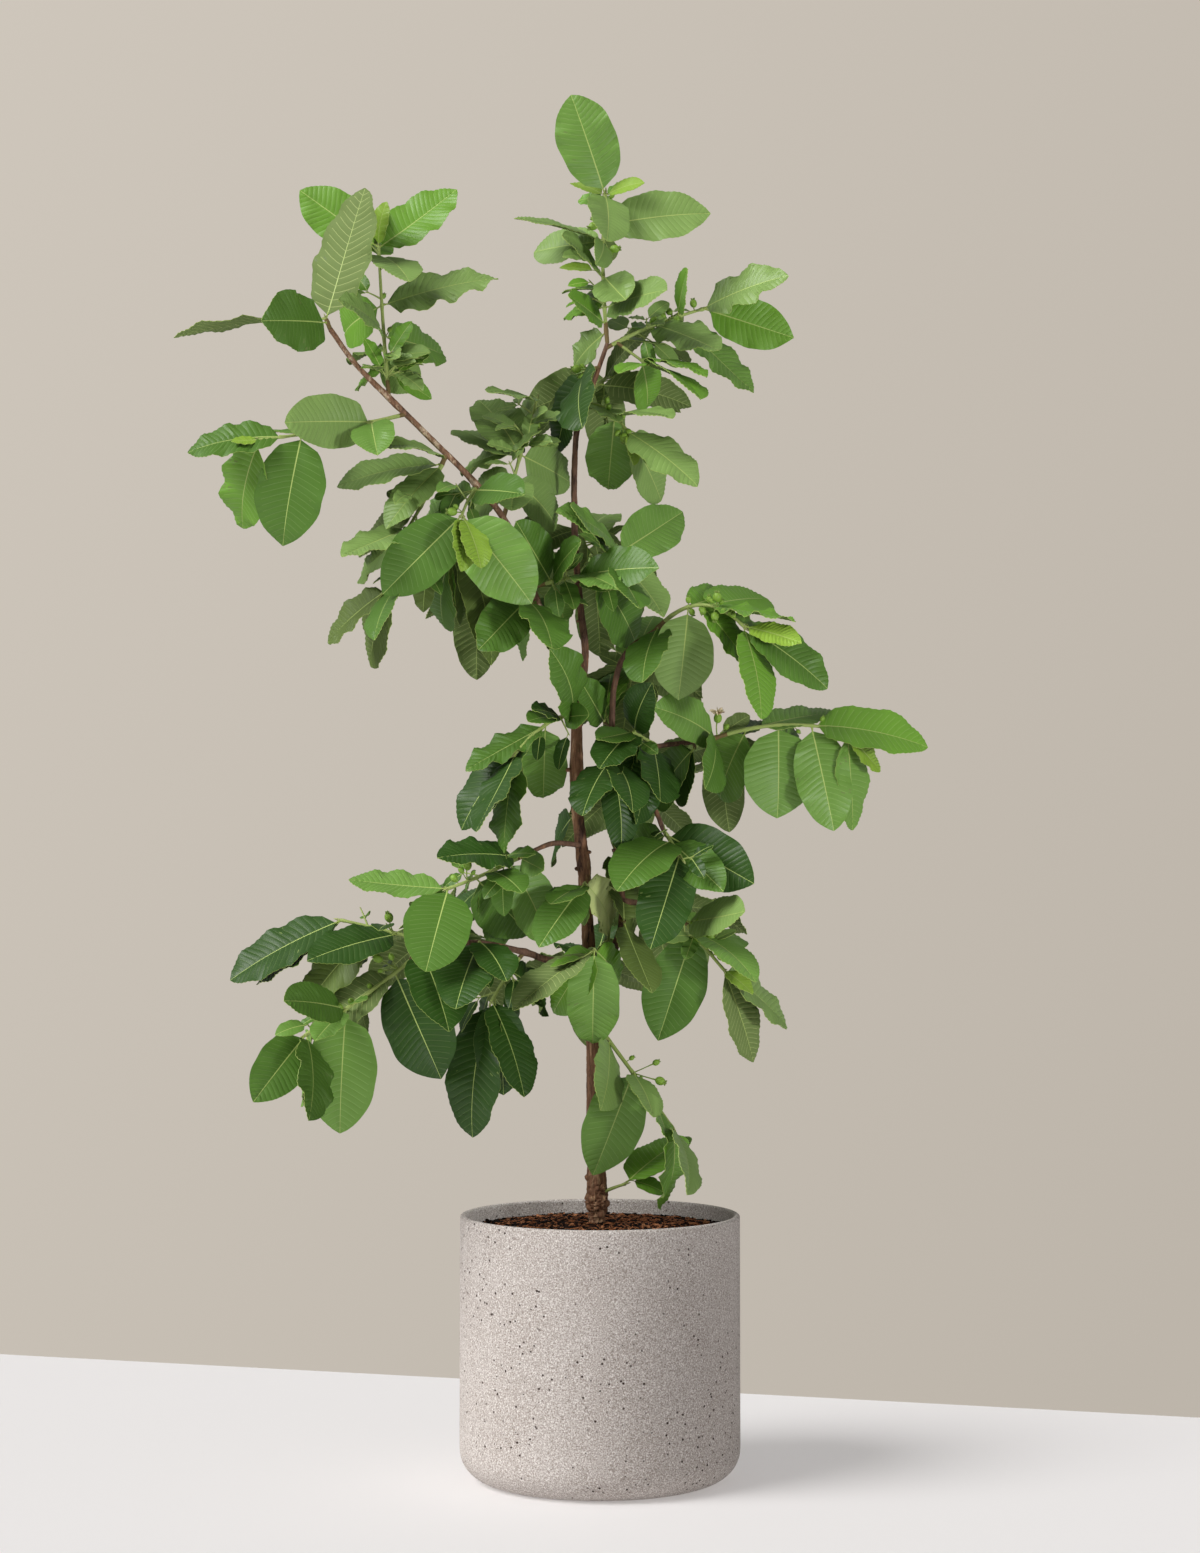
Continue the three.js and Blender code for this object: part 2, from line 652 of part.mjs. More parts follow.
/** A closed three-edged blade: flat or hollow on top, keeled below, narrowing to its petiole and its tip. */
function leafSolid(leaf) {
  const tip = leaf.foot.clone().addScaledVector(leaf.course, leaf.length);
  const middle = leaf.foot.clone().add(tip).multiplyScalar(0.5).addScaledVector(leaf.normal, 2 * leaf.bow);
  const rib = new THREE.QuadraticBezierCurve3(leaf.foot, middle, tip);
  const across = leaf.normal.clone().cross(leaf.course);
  const blade = Math.max(LEAF.thinnest, LEAF.thick * leaf.length) / 2;
  return tube(3, LEAF.rings.length - 1, true, (along, x, z, spot) => {
    const share = LEAF.rings[Math.round(along * (LEAF.rings.length - 1))];
    const full = (1 - Math.abs(2 * share - 1) ** LEAF.squareness) ** LEAF.roundness;
    const half = share === 0 ? LEAF.petiole : (full * leaf.width) / 2;
    const thick = share === 0 ? LEAF.petiole : blade;
    const edge = Math.abs(x) < 0.5 ? 0 : 1;
    const lift = edge * (thick + leaf.fold * half) - Math.max(z, 0) * thick;
    spot.copy(rib.getPoint(share)).addScaledVector(leaf.normal, lift);
    spot.addScaledVector(across, Math.sign(x) * edge * half);
  });
}

/** A young fruit on its stalk. */
function fruitSolid(foot, hour, stalk) {
  const angle = hour * HOUR;
  const course = new THREE.Vector3(Math.sin(angle), -FRUIT.towards, Math.cos(angle)).normalize();
  const end = foot.clone().addScaledVector(course, stalk);
  const stem = taperedTube(new THREE.LineCurve3(foot, end), 3, 1, () => FRUIT.stalk);
  const ball = new THREE.IcosahedronGeometry(FRUIT.radius);
  ball.scale(1, FRUIT.length / FRUIT.radius, 1);
  ball.applyQuaternion(new THREE.Quaternion().setFromUnitVectors(new THREE.Vector3(0, 1, 0), course));
  ball.translate(end.x, end.y, end.z);
  return stem.add(solidOf(ball));
}

// ---- Keeping each mass to its own space ----

function boxesMeet(a, b, margin) {
  return [0, 1, 2].every((axis) => a.min[axis] - margin < b.max[axis] && b.min[axis] - margin < a.max[axis]);
}

/** Whether a solid comes nearer than a margin to any of the others. */
function touches(solid, others, margin) {
  const box = solid.boundingBox();
  const near = others.filter((other) => boxesMeet(box, other.boundingBox(), margin));
  return near.some((other) => solid.minGap(other, 1) < margin);
}

/** A mass with its stem and side twigs, and nothing on them yet. */
function startMass(row) {
  const dice = diceOf(row.seed);
  const root = limbCurve(LIMBS[row.limb]).getPoint(row.share);
  const stem = twigCurve(root, new THREE.Vector3(...row.stem), row.bow ?? 0, dice);
  const twigs = [{ curve: stem, nodes: row.nodes ?? [], solid: twigSolid(stem, TWIG) }];
  for (const twig of row.twigs ?? []) {
    const curve = twigCurve(stem.getPoint(twig.start), new THREE.Vector3(...twig.reach), 0, dice);
    twigs.push({ curve, nodes: twig.nodes, solid: twigSolid(curve, SIDE_TWIG) });
  }
  return { row, twigs, pieces: [] };
}

/** What a mass is to bear: a maker for each leaf, called with a number and an attempt. */
function leafMakers(mass) {
  const { row } = mass;
  const stem = mass.twigs[0].curve;
  if (row.pairs) {
    const maker = (number, attempt) => rearLeaf(stem, row, number, leafDice(row.seed, number, attempt));
    return Array(2 * row.pairs).fill(maker);
  }
  const makers = [];
  const bear = (foot, look, young) => {
    makers.push((number, attempt) => {
      const dice = leafDice(row.seed, number, attempt);
      return frontLeaf(foot, look, young, attempt, dice);
    });
  };
  for (const { curve, nodes } of mass.twigs) {
    for (const [share, ...looks] of nodes) {
      for (const look of looks) bear(curve.getPoint(Math.min(share, DEEPEST_FOOT)), look, false);
    }
  }
  for (const [hour, reach] of row.young ?? []) {
    bear(stem.getPoint(DEEPEST_FOOT), [hour, reach, YOUNG.slender * reach], true);
  }
  return makers;
}

/** A leaf without its foot, to tell whether its blade crosses another's. */
function bladeOf(leaf) {
  const foot = leaf.foot.clone().addScaledVector(leaf.course, LEAF.bare * leaf.length);
  return leafSolid({ ...leaf, foot, length: leaf.length * (1 - LEAF.bare) });
}

/** Adds the leaves that find room: clear of all else, and across none of the mass's own where they can be. */
function addLeaves(mass, foreign) {
  const blades = [];
  leafMakers(mass).forEach((maker, number) => {
    let chosen = null;
    for (let attempt = 0; attempt < LEAF.tries; attempt += 1) {
      const leaf = maker(number, attempt);
      if (touches(leafSolid(leaf), foreign, CLEAR)) continue;
      chosen ??= leaf;
      if (!touches(bladeOf(leaf), blades, CLEAR)) {
        chosen = leaf;
        break;
      }
    }
    if (!chosen) return;
    mass.pieces.push(leafSolid(chosen));
    blades.push(bladeOf(chosen));
  });
}

function addFruits(mass, foreign) {
  for (const [share, hour, stalk] of mass.row.fruits ?? []) {
    const fruit = fruitSolid(mass.twigs[0].curve.getPoint(share), hour, stalk);
    if (!touches(fruit, foreign, CLEAR)) mass.pieces.push(fruit);
  }
}

/** All masses, each joined into one solid and cut clear of the limb that bears it. */
function growMasses(limbs, below) {
  const masses = [...MASSES, ...REAR_MASSES].map(startMass);
  for (const mass of masses) {
    const others = masses.filter((other) => other !== mass);
    const taken = others.flatMap((other) => [...other.twigs.map((twig) => twig.solid), ...other.pieces]);
    const foreign = [...Object.values(limbs), ...below, ...taken];
    addFruits(mass, foreign);
    addLeaves(mass, foreign);
  }
  return masses.map((mass) => {
    const parts = [...mass.twigs.map((twig) => twig.solid), ...mass.pieces];
    const joined = parts.reduce((whole, part) => whole.add(part));
    return { name: mass.row.name, solid: largestBody(joined.subtract(limbSolid(LIMBS[mass.row.limb], GAP))) };
  });
}

// ---- Pot and potting mix ----

/** Points on a quarter turn about a centre in the pot's half section. */
function corner(radius, level, round, from, to, steps) {
  const points = [];
  for (let i = 0; i <= steps; i += 1) {
    const angle = from + ((to - from) * i) / steps;
    points.push(new THREE.Vector2(radius + round * Math.cos(angle), level + round * Math.sin(angle)));
  }
  return points;
}

/** A solid turned about the upright axis from its half section. */
function turnedSolid(section) {
  return solidOf(new THREE.LatheGeometry(section, POT.facets).rotateX(Math.PI / 2));
}

function potSolid() {
  const { radius, height, wall, floor, footRound, innerRound, lipRound } = POT;
  const inside = radius - wall;
  const right = 0;
  const up = Math.PI / 2;
  return turnedSolid([
    new THREE.Vector2(0, 0),
    ...corner(radius - footRound, footRound, footRound, -up, right, 4),
    ...corner(radius - lipRound, height - lipRound, lipRound, right, up, 2),
    ...corner(inside + lipRound, height - lipRound, lipRound, up, 2 * up, 2),
    ...corner(inside - innerRound, floor + innerRound, innerRound, right, -up, 3),
    new THREE.Vector2(0, floor),
  ]);
}

function mixSolid() {
  const outer = POT.radius - POT.wall - GAP;
  const bottom = POT.floor + GAP;
  const { innerRound } = POT;
  const slope = [];
  for (let i = 0; i <= SOIL.rings; i += 1) {
    const share = i / SOIL.rings;
    const fall = (1 - Math.cos(share * Math.PI)) / 2;
    const level = SOIL.crown + (SOIL.edge - SOIL.crown) * fall;
    slope.unshift(new THREE.Vector2(SOIL.flat + (outer - SOIL.flat) * share, level));
  }
  return turnedSolid([
    new THREE.Vector2(0, bottom),
    ...corner(outer - innerRound, bottom + innerRound, innerRound, -Math.PI / 2, 0, 3),
    ...slope,
    new THREE.Vector2(0, SOIL.crown),
  ]);
}

// ---- The whole plant ----

const BARK = { color: 0x7a5f4c, roughness: 0.85, metalness: 0 };
const YOUNG_BARK = { color: 0x8f7055, roughness: 0.8, metalness: 0 };
const FOLIAGE = { color: 0x5f8a45, roughness: 0.6, metalness: 0 };
const CONCRETE = { color: 0xbcb2ab, roughness: 0.9, metalness: 0 };
const MIX = { color: 0x3b2419, roughness: 1, metalness: 0 };

const group = new THREE.Group();
const pot = potSolid();
const mix = mixSolid();
const limbs = growLimbs();
group.add(meshOf('pot', pot, CONCRETE));
group.add(meshOf('potting_mix', mix, MIX));
for (const [name, solid] of Object.entries(limbs)) {
  group.add(meshOf(name, solid, name === 'trunk' ? BARK : YOUNG_BARK));
}
for (const { name, solid } of growMasses(limbs, [pot, mix])) {
  group.add(meshOf(`leaves_${name}`, solid, FOLIAGE));
}

export default group;
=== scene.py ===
"""A potted guava tree: finished leaves, twigs, bark, fruits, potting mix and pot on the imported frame."""

import math

import bpy
import numpy as np
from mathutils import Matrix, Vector, kdtree, noise


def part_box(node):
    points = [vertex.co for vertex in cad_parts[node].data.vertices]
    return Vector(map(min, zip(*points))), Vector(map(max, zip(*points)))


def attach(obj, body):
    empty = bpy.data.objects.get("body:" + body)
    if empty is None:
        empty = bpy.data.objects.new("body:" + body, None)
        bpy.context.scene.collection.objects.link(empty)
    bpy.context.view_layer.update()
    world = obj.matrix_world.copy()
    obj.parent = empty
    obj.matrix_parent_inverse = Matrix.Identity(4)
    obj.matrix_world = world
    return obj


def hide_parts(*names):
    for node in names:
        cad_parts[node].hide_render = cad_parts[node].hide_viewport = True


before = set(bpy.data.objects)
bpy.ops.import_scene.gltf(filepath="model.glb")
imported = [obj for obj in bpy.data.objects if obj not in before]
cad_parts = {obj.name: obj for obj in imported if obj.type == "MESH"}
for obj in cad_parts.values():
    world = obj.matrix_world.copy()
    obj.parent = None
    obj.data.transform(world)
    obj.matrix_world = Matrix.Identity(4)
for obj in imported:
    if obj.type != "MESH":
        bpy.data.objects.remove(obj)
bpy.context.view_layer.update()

bl_info = {
    "name": "Potted guava tree",
    "version": (1, 0, 0),
    "blender": (4, 5, 0),
    "location": "View3D > Sidebar > Guava",
    "description": "Builds a young guava tree in a round fibre-concrete pot on its packed frame",
    "category": "Object",
}

# The growth rule below works in millimetres, as the part's source does; meshes are made in metres.
MM = 0.001
UP = np.array([0.0, 0.0, 1.0])
FRONT = np.array([0.0, -1.0, 0.0])

# ---- Limbs and masses of leaves, as in the part's source ----

# For each limb its path, its radius at foot and tip, and its swellings: share, height and reach.
LIMBS = dict(
    trunk=dict(
        path=[[-3, 0, 270.3], [-3, 0, 300], [-5, 0, 380], [-6.5, 0, 470], [-12.5, 0, 572], [-18, 0, 655],
              [-25, 0, 725], [-25, 0, 838]],
        foot=7, tip=6.4,
        swellings=[[0, 3.2, 0.06], [0.125, 4.6, 0.07], [0.33, 2.6, 0.17], [0.72, 1.2, 0.02],
                   [0.9, 1.4, 0.02]]),
    leader=dict(
        path=[[-23.5, 1, 832], [-20, 3, 843], [-16, 7, 885], [-22, 6, 940], [-27, 6, 1005], [-28, 4, 1074],
              [-24, 2, 1133], [-10, 0, 1168], [8, 0, 1220]],
        foot=4.6, tip=2.5, swellings=[[0.75, 1, 0.03]]),
    left_bough=dict(
        path=[[-26.5, -1, 832], [-29, -3, 843], [-36, -8, 864], [-50, -16, 893], [-81, -32, 970],
              [-97, -42, 1013], [-130, -52, 1056], [-193, -68, 1118], [-254, -80, 1177], [-285, -86, 1218]],
        foot=4.8, tip=2.6, swellings=[[0.67, 0.8, 0.02], [0.82, 0.8, 0.02]]),
    right_stem=dict(
        path=[[-4, 2, 488], [14, 14, 556], [24, 18, 593], [22, 20, 637], [14, 20, 734], [13, 18, 803],
              [16, 16, 850], [30, 6, 885], [59, -8, 905]],
        foot=4.6, tip=2.8, swellings=[]),
    lower_left_bough=dict(
        path=[[-10, -1, 546], [-54, -18, 551], [-81, -30, 560], [-129, -56, 570], [-181, -80, 568]],
        foot=4.2, tip=2.8, swellings=[[0.5, 0.8, 0.03]]),
    middle_left_bough=dict(path=[[-18, -1, 674], [-50, -20, 676], [-82, -40, 663]],
                           foot=3, tip=2.4, swellings=[]),
    right_bough=dict(path=[[14, 20, 760], [54, 34, 781], [98, 46, 788], [123, 52, 792]],
                     foot=3.2, tip=2.5, swellings=[]),
    lower_right_bough=dict(path=[[14, 20, 727], [40, 18, 729], [58, 14, 716], [69, 8, 690]],
                           foot=3.2, tip=2.5, swellings=[]),
    low_right_bough=dict(path=[[23, 19, 614], [55, 8, 610], [88, -4, 597]],
                         foot=3.2, tip=2.5, swellings=[]),
)


def spray(name, limb, share, seed, stem, **more):
    """One mass of leaves: its stem starts at a share of its limb, and its seed sets its leaves."""
    return dict(name=name, limb=limb, share=share, seed=seed, stem=stem, **more)


# Each node is a share of the stem and the leaves there, by hour, reach and breadth as seen from the front;
# young leaves have hour and reach, and fruits have share, hour and stalk.
MASSES = [
    spray("top", "leader", 1, 9, (-2, -5, 163), nodes=[[0.07, [7.9, 48, 32]], [0.22, [9.3, 44, 28],
          [2.95, 65, 42]], [0.43, [5, 47, 43], [10.2, 49, 17]], [0.66, [9.2, 80, 40], [9.5, 100, 12],
          [6.2, 36, 20]], [0.77, [2.75, 118, 54]], [1, [5.9, 66, 42], [11.35, 112, 60]]], young=[[10, 44],
          [2.5, 43]], fruits=[[0.8, 8, 14], [0.6, 3, 14]]),
    spray("upper_right", "leader", 0.987, 9, (110, 34, 51), nodes=[[0.2, [3.1, 75, 13]],
          [0.52, [4, 79, 41]], [0.74, [0.4, 40, 15], [4.5, 118, 34]], [1, [3.6, 104, 50]],
          [0.97, [2.5, 92, 40]]], twigs=[dict(start=0.12, reach=[34, -16, -28], nodes=[[0.8, [5.6, 45, 32],
          [3.7, 74, 15]], [1, [4.3, 74, 17], [8.1, 36, 15]]])], fruits=[[0.66, 4.5, 16]]),
    spray("upper_left", "leader", 0.939, 5, (-14, -12, -6), nodes=[[1, [6.8, 90, 32], [6.2, 75, 28]]],
          fruits=[[0.8, 9, 14]]),
    spray("shoulder_right", "leader", 0.811, 15, (49, -55, -38), nodes=[[0.1, [4.2, 42, 15]],
          [0.72, [3.3, 60, 15], [6.2, 72, 50]], [1, [4.9, 74, 40], [4.35, 96, 38]]], bow=12,
          young=[[5.7, 39]], fruits=[[0.9, 6, 14]]),
    spray("middle_right", "leader", 0.404, 12, (46, -40, 34), nodes=[[0.85, [10.6, 61, 13], [4.7, 86, 30]],
          [1, [1.75, 88, 50], [10, 75, 20]]]),
    spray("middle", "left_bough", 0.414, 16, (92, -46, 15), nodes=[[0.23, [1.4, 47, 24], [5.4, 42, 35],
          [10.9, 66, 40]], [0.5, [2.9, 84, 44], [3.8, 50, 24]], [0.74, [4.8, 84, 50]], [1, [5.1, 53, 22]]]),
    spray("fork", "left_bough", 0.387, 2, (-14, -18, 6), nodes=[[1, [7.3, 74, 49], [6.2, 57, 26],
          [5.1, 66, 36]]]),
    spray("left_tip", "left_bough", 1, 1, (-4, -4, 10), nodes=[[0.6, [8.5, 58, 60]], [1, [0.5, 146, 58],
          [8.8, 162, 14]]]),
    spray("left_spire", "left_bough", 0.83, 11, (-14, 30, 170), nodes=[[0.21, [8.5, 39, 19]],
          [0.32, [4.7, 42, 41], [9, 40, 12]], [0.42, [3.1, 66, 42], [10, 48, 22]], [0.62, [2.5, 128, 43],
          [8.2, 54, 49]], [0.93, [10.9, 52, 28], [4.6, 58, 34]], [1, [10.3, 108, 52], [1.65, 108, 48]]],
          young=[[11.9, 50], [0.4, 46]]),
    spray("left_low", "left_bough", 0.8, 2, (-151, -52, -36), nodes=[[0.25, [8.8, 86, 54], [5.5, 45, 43]],
          [0.72, [6.35, 120, 66], [9.6, 40, 15]], [0.84, [8.75, 102, 36]], [1, [6.6, 89, 50]]],
          young=[[8.8, 28]]),
    spray("left_front", "left_bough", 0.667, 7, (-14, -62, -40), nodes=[[0.15, [8.2, 72, 30],
          [3.5, 56, 40]], [1, [7.5, 117, 59], [4.7, 118, 65]]], young=[[6, 62], [5.3, 62]],
          fruits=[[0.9, 9, 12]]),
    spray("left_side", "left_bough", 0.728, 6, (-44, -24, -90), nodes=[[0.05, [9, 66, 22]],
          [0.12, [8.6, 114, 30], [7.3, 92, 36]], [0.62, [7.9, 86, 32]], [1, [7.9, 66, 32], [6.8, 60, 25]]]),
    spray("left_under", "left_bough", 0.556, 16, (-130, -20, -70), nodes=[[0.35, [5.5, 130, 43]],
          [0.47, [6.3, 72, 35], [5.8, 70, 22]], [0.84, [6.7, 76, 24]], [1, [7.8, 87, 28], [6.7, 80, 40]]]),
    spray("inner_left", "left_bough", 0.582, 16, (35, 44, 137), nodes=[[0.3, [6, 42, 42], [8, 66, 43],
          [4.4, 62, 40]], [0.5, [10.9, 90, 48], [3.6, 57, 49]], [0.47, [10.1, 84, 32]], [1, [8.9, 49, 15],
          [7.5, 46, 24]]], fruits=[[0.8, 3, 14]]),
    spray("right_tip", "right_stem", 1, 16, (94, -58, -1), nodes=[[0.04, [6.6, 66, 38]],
          [0.18, [10.6, 62, 34]], [0.38, [6.2, 102, 60], [2.5, 72, 34]], [0.52, [4.75, 104, 30]],
          [0.6, [2.5, 73, 35], [3.4, 93, 15]], [0.82, [3.9, 90, 17]], [1, [4.2, 112, 41], [5.6, 102, 34]]],
          bow=24, young=[[3.6, 63]], fruits=[[0.2, 11, 14], [0.45, 1, 14], [0.7, 12, 12]]),
    spray("stem_right", "right_stem", 0.625, 1, (-8, 20, 6), nodes=[[1, [0.7, 80, 43], [11, 45, 30]]]),
    spray("stem_front", "right_stem", 0.54, 16, (-2, -34, 6), nodes=[[1, [6.9, 67, 39], [5.2, 60, 30]]]),
    spray("centre", "right_bough", 0.4, 1, (-28, -36, 14), nodes=[[0.2, [5.8, 67, 39], [6.3, 90, 36]],
          [1, [7.4, 53, 37], [8.5, 40, 20]]]),
    spray("centre_right", "right_bough", 0.72, 5, (0, -26, -8), nodes=[[1, [6.7, 60, 34], [7.1, 75, 34]]]),
    spray("far_right", "right_bough", 1, 3, (149, -22, 6), nodes=[[0.02, [9.8, 74, 44], [6.4, 60, 25]],
          [0.25, [7, 83, 49]], [0.31, [2.6, 99, 27]], [0.48, [6, 103, 71], [5.1, 80, 24]],
          [0.72, [5.6, 118, 56], [3.35, 130, 44]], [1, [5.75, 108, 38]]], bow=10, young=[[4.5, 58]],
          fruits=[[0.04, 12, 22]]),
    spray("right_fan", "lower_right_bough", 1, 6, (20, -66, -34), nodes=[[0.1, [4, 104, 60], [7.7, 74, 43]],
          [0.3, [4.5, 76, 42]], [0.75, [6.6, 104, 54]]]),
    spray("right_low", "low_right_bough", 1, 12, (44, -34, -56), nodes=[[0.1, [2.6, 60, 34], [3.7, 72, 22]],
          [0.3, [6.6, 122, 60], [4.2, 81, 22]], [1, [4.3, 97, 22], [5.3, 108, 34]]], young=[[4.3, 40]],
          fruits=[[0.3, 1, 14], [0.5, 2, 12], [0.7, 3.5, 14]]),
    spray("centre_low", "right_bough", 0.3, 9, (0, 16, -52), nodes=[[1, [6.7, 60, 32], [5.5, 60, 32]]]),
    spray("stem_low", "right_stem", 0.25, 12, (2, -22, -2), nodes=[[1, [5.2, 76, 27], [5.6, 50, 15]]]),
    spray("trunk_middle", "trunk", 0.668, 6, (0, -48, 4), nodes=[[0.7, [8.1, 40, 17]], [1, [5, 63, 30],
          [7.2, 81, 43]]]),
    spray("front", "trunk", 0.556, 10, (6, -78, 2), nodes=[[0.8, [7.8, 103, 26], [4.8, 51, 30]],
          [1, [7.2, 84, 43], [6, 104, 52]]]),
    spray("trunk_left", "trunk", 0.97, 4, (-65, -66, -44), nodes=[[0.3, [9.4, 30, 15], [3, 30, 26]],
          [0.36, [8.7, 30, 15]], [0.55, [6.1, 76, 48], [8.05, 96, 26]], [0.78, [7.3, 124, 36]],
          [1, [6.3, 107, 34], [6.9, 92, 28]]], bow=14),
    spray("middle_left", "middle_left_bough", 1, 4, (-79, -36, -36), nodes=[[0.06, [9, 83, 31],
          [3.9, 30, 27]], [0.45, [4, 40, 22]], [0.65, [4.6, 86, 59]], [1, [9.2, 105, 24], [6.4, 84, 65]]],
          fruits=[[0.75, 12, 18]]),
    spray("trunk_sprig", "trunk", 0.816, 12, (-6, 12, 4), nodes=[[1, [6.9, 54, 17]]]),
    spray("low_left_tip", "lower_left_bough", 1, 6, (-124, -46, -92), nodes=[[0.05, [5.2, 85, 49]],
          [0.28, [5.2, 122, 65], [7.8, 112, 38]], [0.68, [6.1, 131, 66], [7.4, 39, 24]],
          [0.95, [6.4, 82, 14]], [1, [7.2, 80, 48], [5.7, 83, 26]]], fruits=[[0.25, 10, 26]]),
    spray("low_left_upper", "lower_left_bough", 0.95, 1, (-104, 14, 26), nodes=[[0.4, [8.5, 93, 35]],
          [0.64, [7.4, 118, 45]], [1, [8.1, 134, 38], [7.9, 112, 20]]], fruits=[[0.45, 11.5, 18]]),
    spray("low_left_inner", "lower_left_bough", 0.75, 6, (2, -18, 2), nodes=[[1, [6.6, 66, 54],
          [4.6, 50, 30]]]),
    spray("low_left_hang", "lower_left_bough", 0.5, 5, (-34, -26, -52), nodes=[[0.4, [4.6, 60, 20]],
          [0.9, [5.8, 106, 52]], [1, [6.3, 147, 52], [5.3, 104, 34]]]),
    spray("low_right", "trunk", 0.452, 1, (85, -60, -112), nodes=[[0.2, [6.15, 66, 26]],
          [0.5, [6.7, 117, 59], [5, 45, 22]], [0.8, [5.3, 34, 11]], [1, [6.2, 92, 26], [5.4, 62, 16]]],
          fruits=[[0.5, 3.5, 32]]),
    spray("base_sprout", "trunk", 0.14, 5, (30, -20, 14), nodes=[[1, [1.9, 84, 30]]]),
]

# The masses behind bear pairs of leaves of one usual length.
REAR_MASSES = [
    spray("rear_top", "leader", 0.877, 1, (20, 100, 34), pairs=3, leaf=100),
    spray("rear_upper_left", "left_bough", 0.484, 4, (-44, 130, -10), pairs=4, leaf=105),
    spray("rear_upper_right", "leader", 0.562, 15, (22, 115, -48), pairs=4, leaf=105),
    spray("rear_middle_right", "right_stem", 0.86, 11, (16, 124, -14), pairs=4, leaf=105),
    spray("rear_right", "right_bough", 0.85, 10, (34, 112, -14), pairs=3, leaf=105),
    spray("rear_centre", "right_stem", 0.5, 15, (30, 140, 0), pairs=3, leaf=105),
    spray("rear_low_right", "right_stem", 0.3, 9, (70, 115, 0), pairs=4, leaf=105),
    spray("rear_low_left", "lower_left_bough", 0.85, 8, (-30, 140, 14), pairs=4, leaf=105),
    spray("rear_low", "trunk", 0.534, 9, (5, 130, -8), pairs=4, leaf=95),
]

LEAF = dict(full=108, lengths=(0.9, 1.1), foreshortened=1.8, slender=0.47, widths=(0.92, 1.08),
            bows=(-0.02, 0.08), folds=(0.05, 0.22), thick=0.014, thinnest=1.5, rings=(0.28, 0.66),
            squareness=2.3, roundness=0.6, away_share=0.3, level=0.25, tries=12, nudge=0.05)
YOUNG = dict(slender=0.36, stretch=1.1)
TWIG = dict(foot=2.5, tip=1.6, sway=0.03, bow=0.02)
SIDE_TWIG = dict(foot=2.0, tip=1.4)
PAIRS = dict(first=0.35, turn=0.4, ahead=(0.3, 0.8), lengths=(0.85, 1.15), widths=(0.9, 1.1),
             bows=(0, 0.1), twist=0.6, light=(0, 0.5, 0.85))
FRUIT = dict(radius=4.8, length=6, towards=0.4)
DEEPEST_FOOT = 0.985  # share of a stem past which no leaf stands
HOUR = math.pi / 6
TURN = 2 * math.pi

# ---- Chance, the same on every run ----

SPREAD = 2654435761
START = 12345
STRIDE = 0x6D2B79F5
WORD = 2**32
MASK = WORD - 1
SEEDS_A_MASS = 4096
SEEDS_A_LEAF = 16
LOOKS_SEED = 977  # sets the dice for looks apart from those of growth
# What the dice for looks are thrown for.
(FOR_SHOOTS, FOR_STUBS, FOR_TWIGS, FOR_SHOOT_TWIGS, FOR_LEAVES, FOR_SMALL_LEAVES, FOR_FRUITS, FOR_MIX,
 FOR_MORE) = range(1, 10)


def dice_of(seed):
    """A seeded run of random numbers between a low and a high value."""
    state = (seed * SPREAD + START) & MASK

    def roll(low, high):
        nonlocal state
        state = (state + STRIDE) & MASK
        mixed = ((state ^ (state >> 15)) * (state | 1)) & MASK
        mixed ^= (mixed + (((mixed ^ (mixed >> 7)) * (mixed | 61)) & MASK)) & MASK
        return low + (high - low) * ((mixed ^ (mixed >> 14)) & MASK) / WORD

    return roll


def leaf_dice(seed, number, attempt):
    """Dice for one try at a leaf."""
    return dice_of(seed * SEEDS_A_MASS + number * SEEDS_A_LEAF + attempt)


def looks_dice(*numbers):
    """Dice for what is seen only close by, apart from the growth's own."""
    seed = LOOKS_SEED
    for number in numbers:
        seed = seed * SEEDS_A_MASS + number
    return dice_of(seed & MASK)


# ---- Lines ----


def unit(v):
    """A vector's direction."""
    return v / np.linalg.norm(v)


def turned(v, axis, angle):
    """A vector turned about a unit axis."""
    return (v * math.cos(angle) + np.cross(axis, v) * math.sin(angle)
            + axis * (axis @ v) * (1 - math.cos(angle)))


def spoke(aside, over, angle):
    """A way between two that stand across each other, at an angle from the first."""
    return aside * math.cos(angle) + over * math.sin(angle)


def hour_way(hour, towards):
    """A way at an hour as seen from the front, leaning towards the viewer."""
    angle = hour * HOUR
    return unit(np.array([math.sin(angle), -towards, math.cos(angle)]))


def aside_of(course):
    """A way across a course, never at a loss for one."""
    return unit(np.cross(course, UP + 0.01))


def facing(light, heading, twist):
    """The upper side of a leaf that turns to the light, twisted about its heading."""
    return turned(unit(light - heading * (light @ heading)), heading, twist)


def limb_point(limb, share):
    """A point on a limb's centre line, a smooth curve through its path."""
    points = [np.array(p, float) for p in LIMBS[limb]["path"]]
    last = len(points) - 1
    place = share * last
    i = min(int(place), last - 1)
    w = place - i
    a, b = points[i], points[i + 1]
    before = points[i - 1] if i > 0 else 2 * a - b
    after = points[i + 2] if i + 2 <= last else 2 * b - a
    leave, arrive = (b - before) / 2, (after - a) / 2
    cubic, square = 2 * a - 2 * b + leave + arrive, 3 * b - 3 * a - 2 * leave - arrive
    return ((cubic * w + square) * w + leave) * w + a


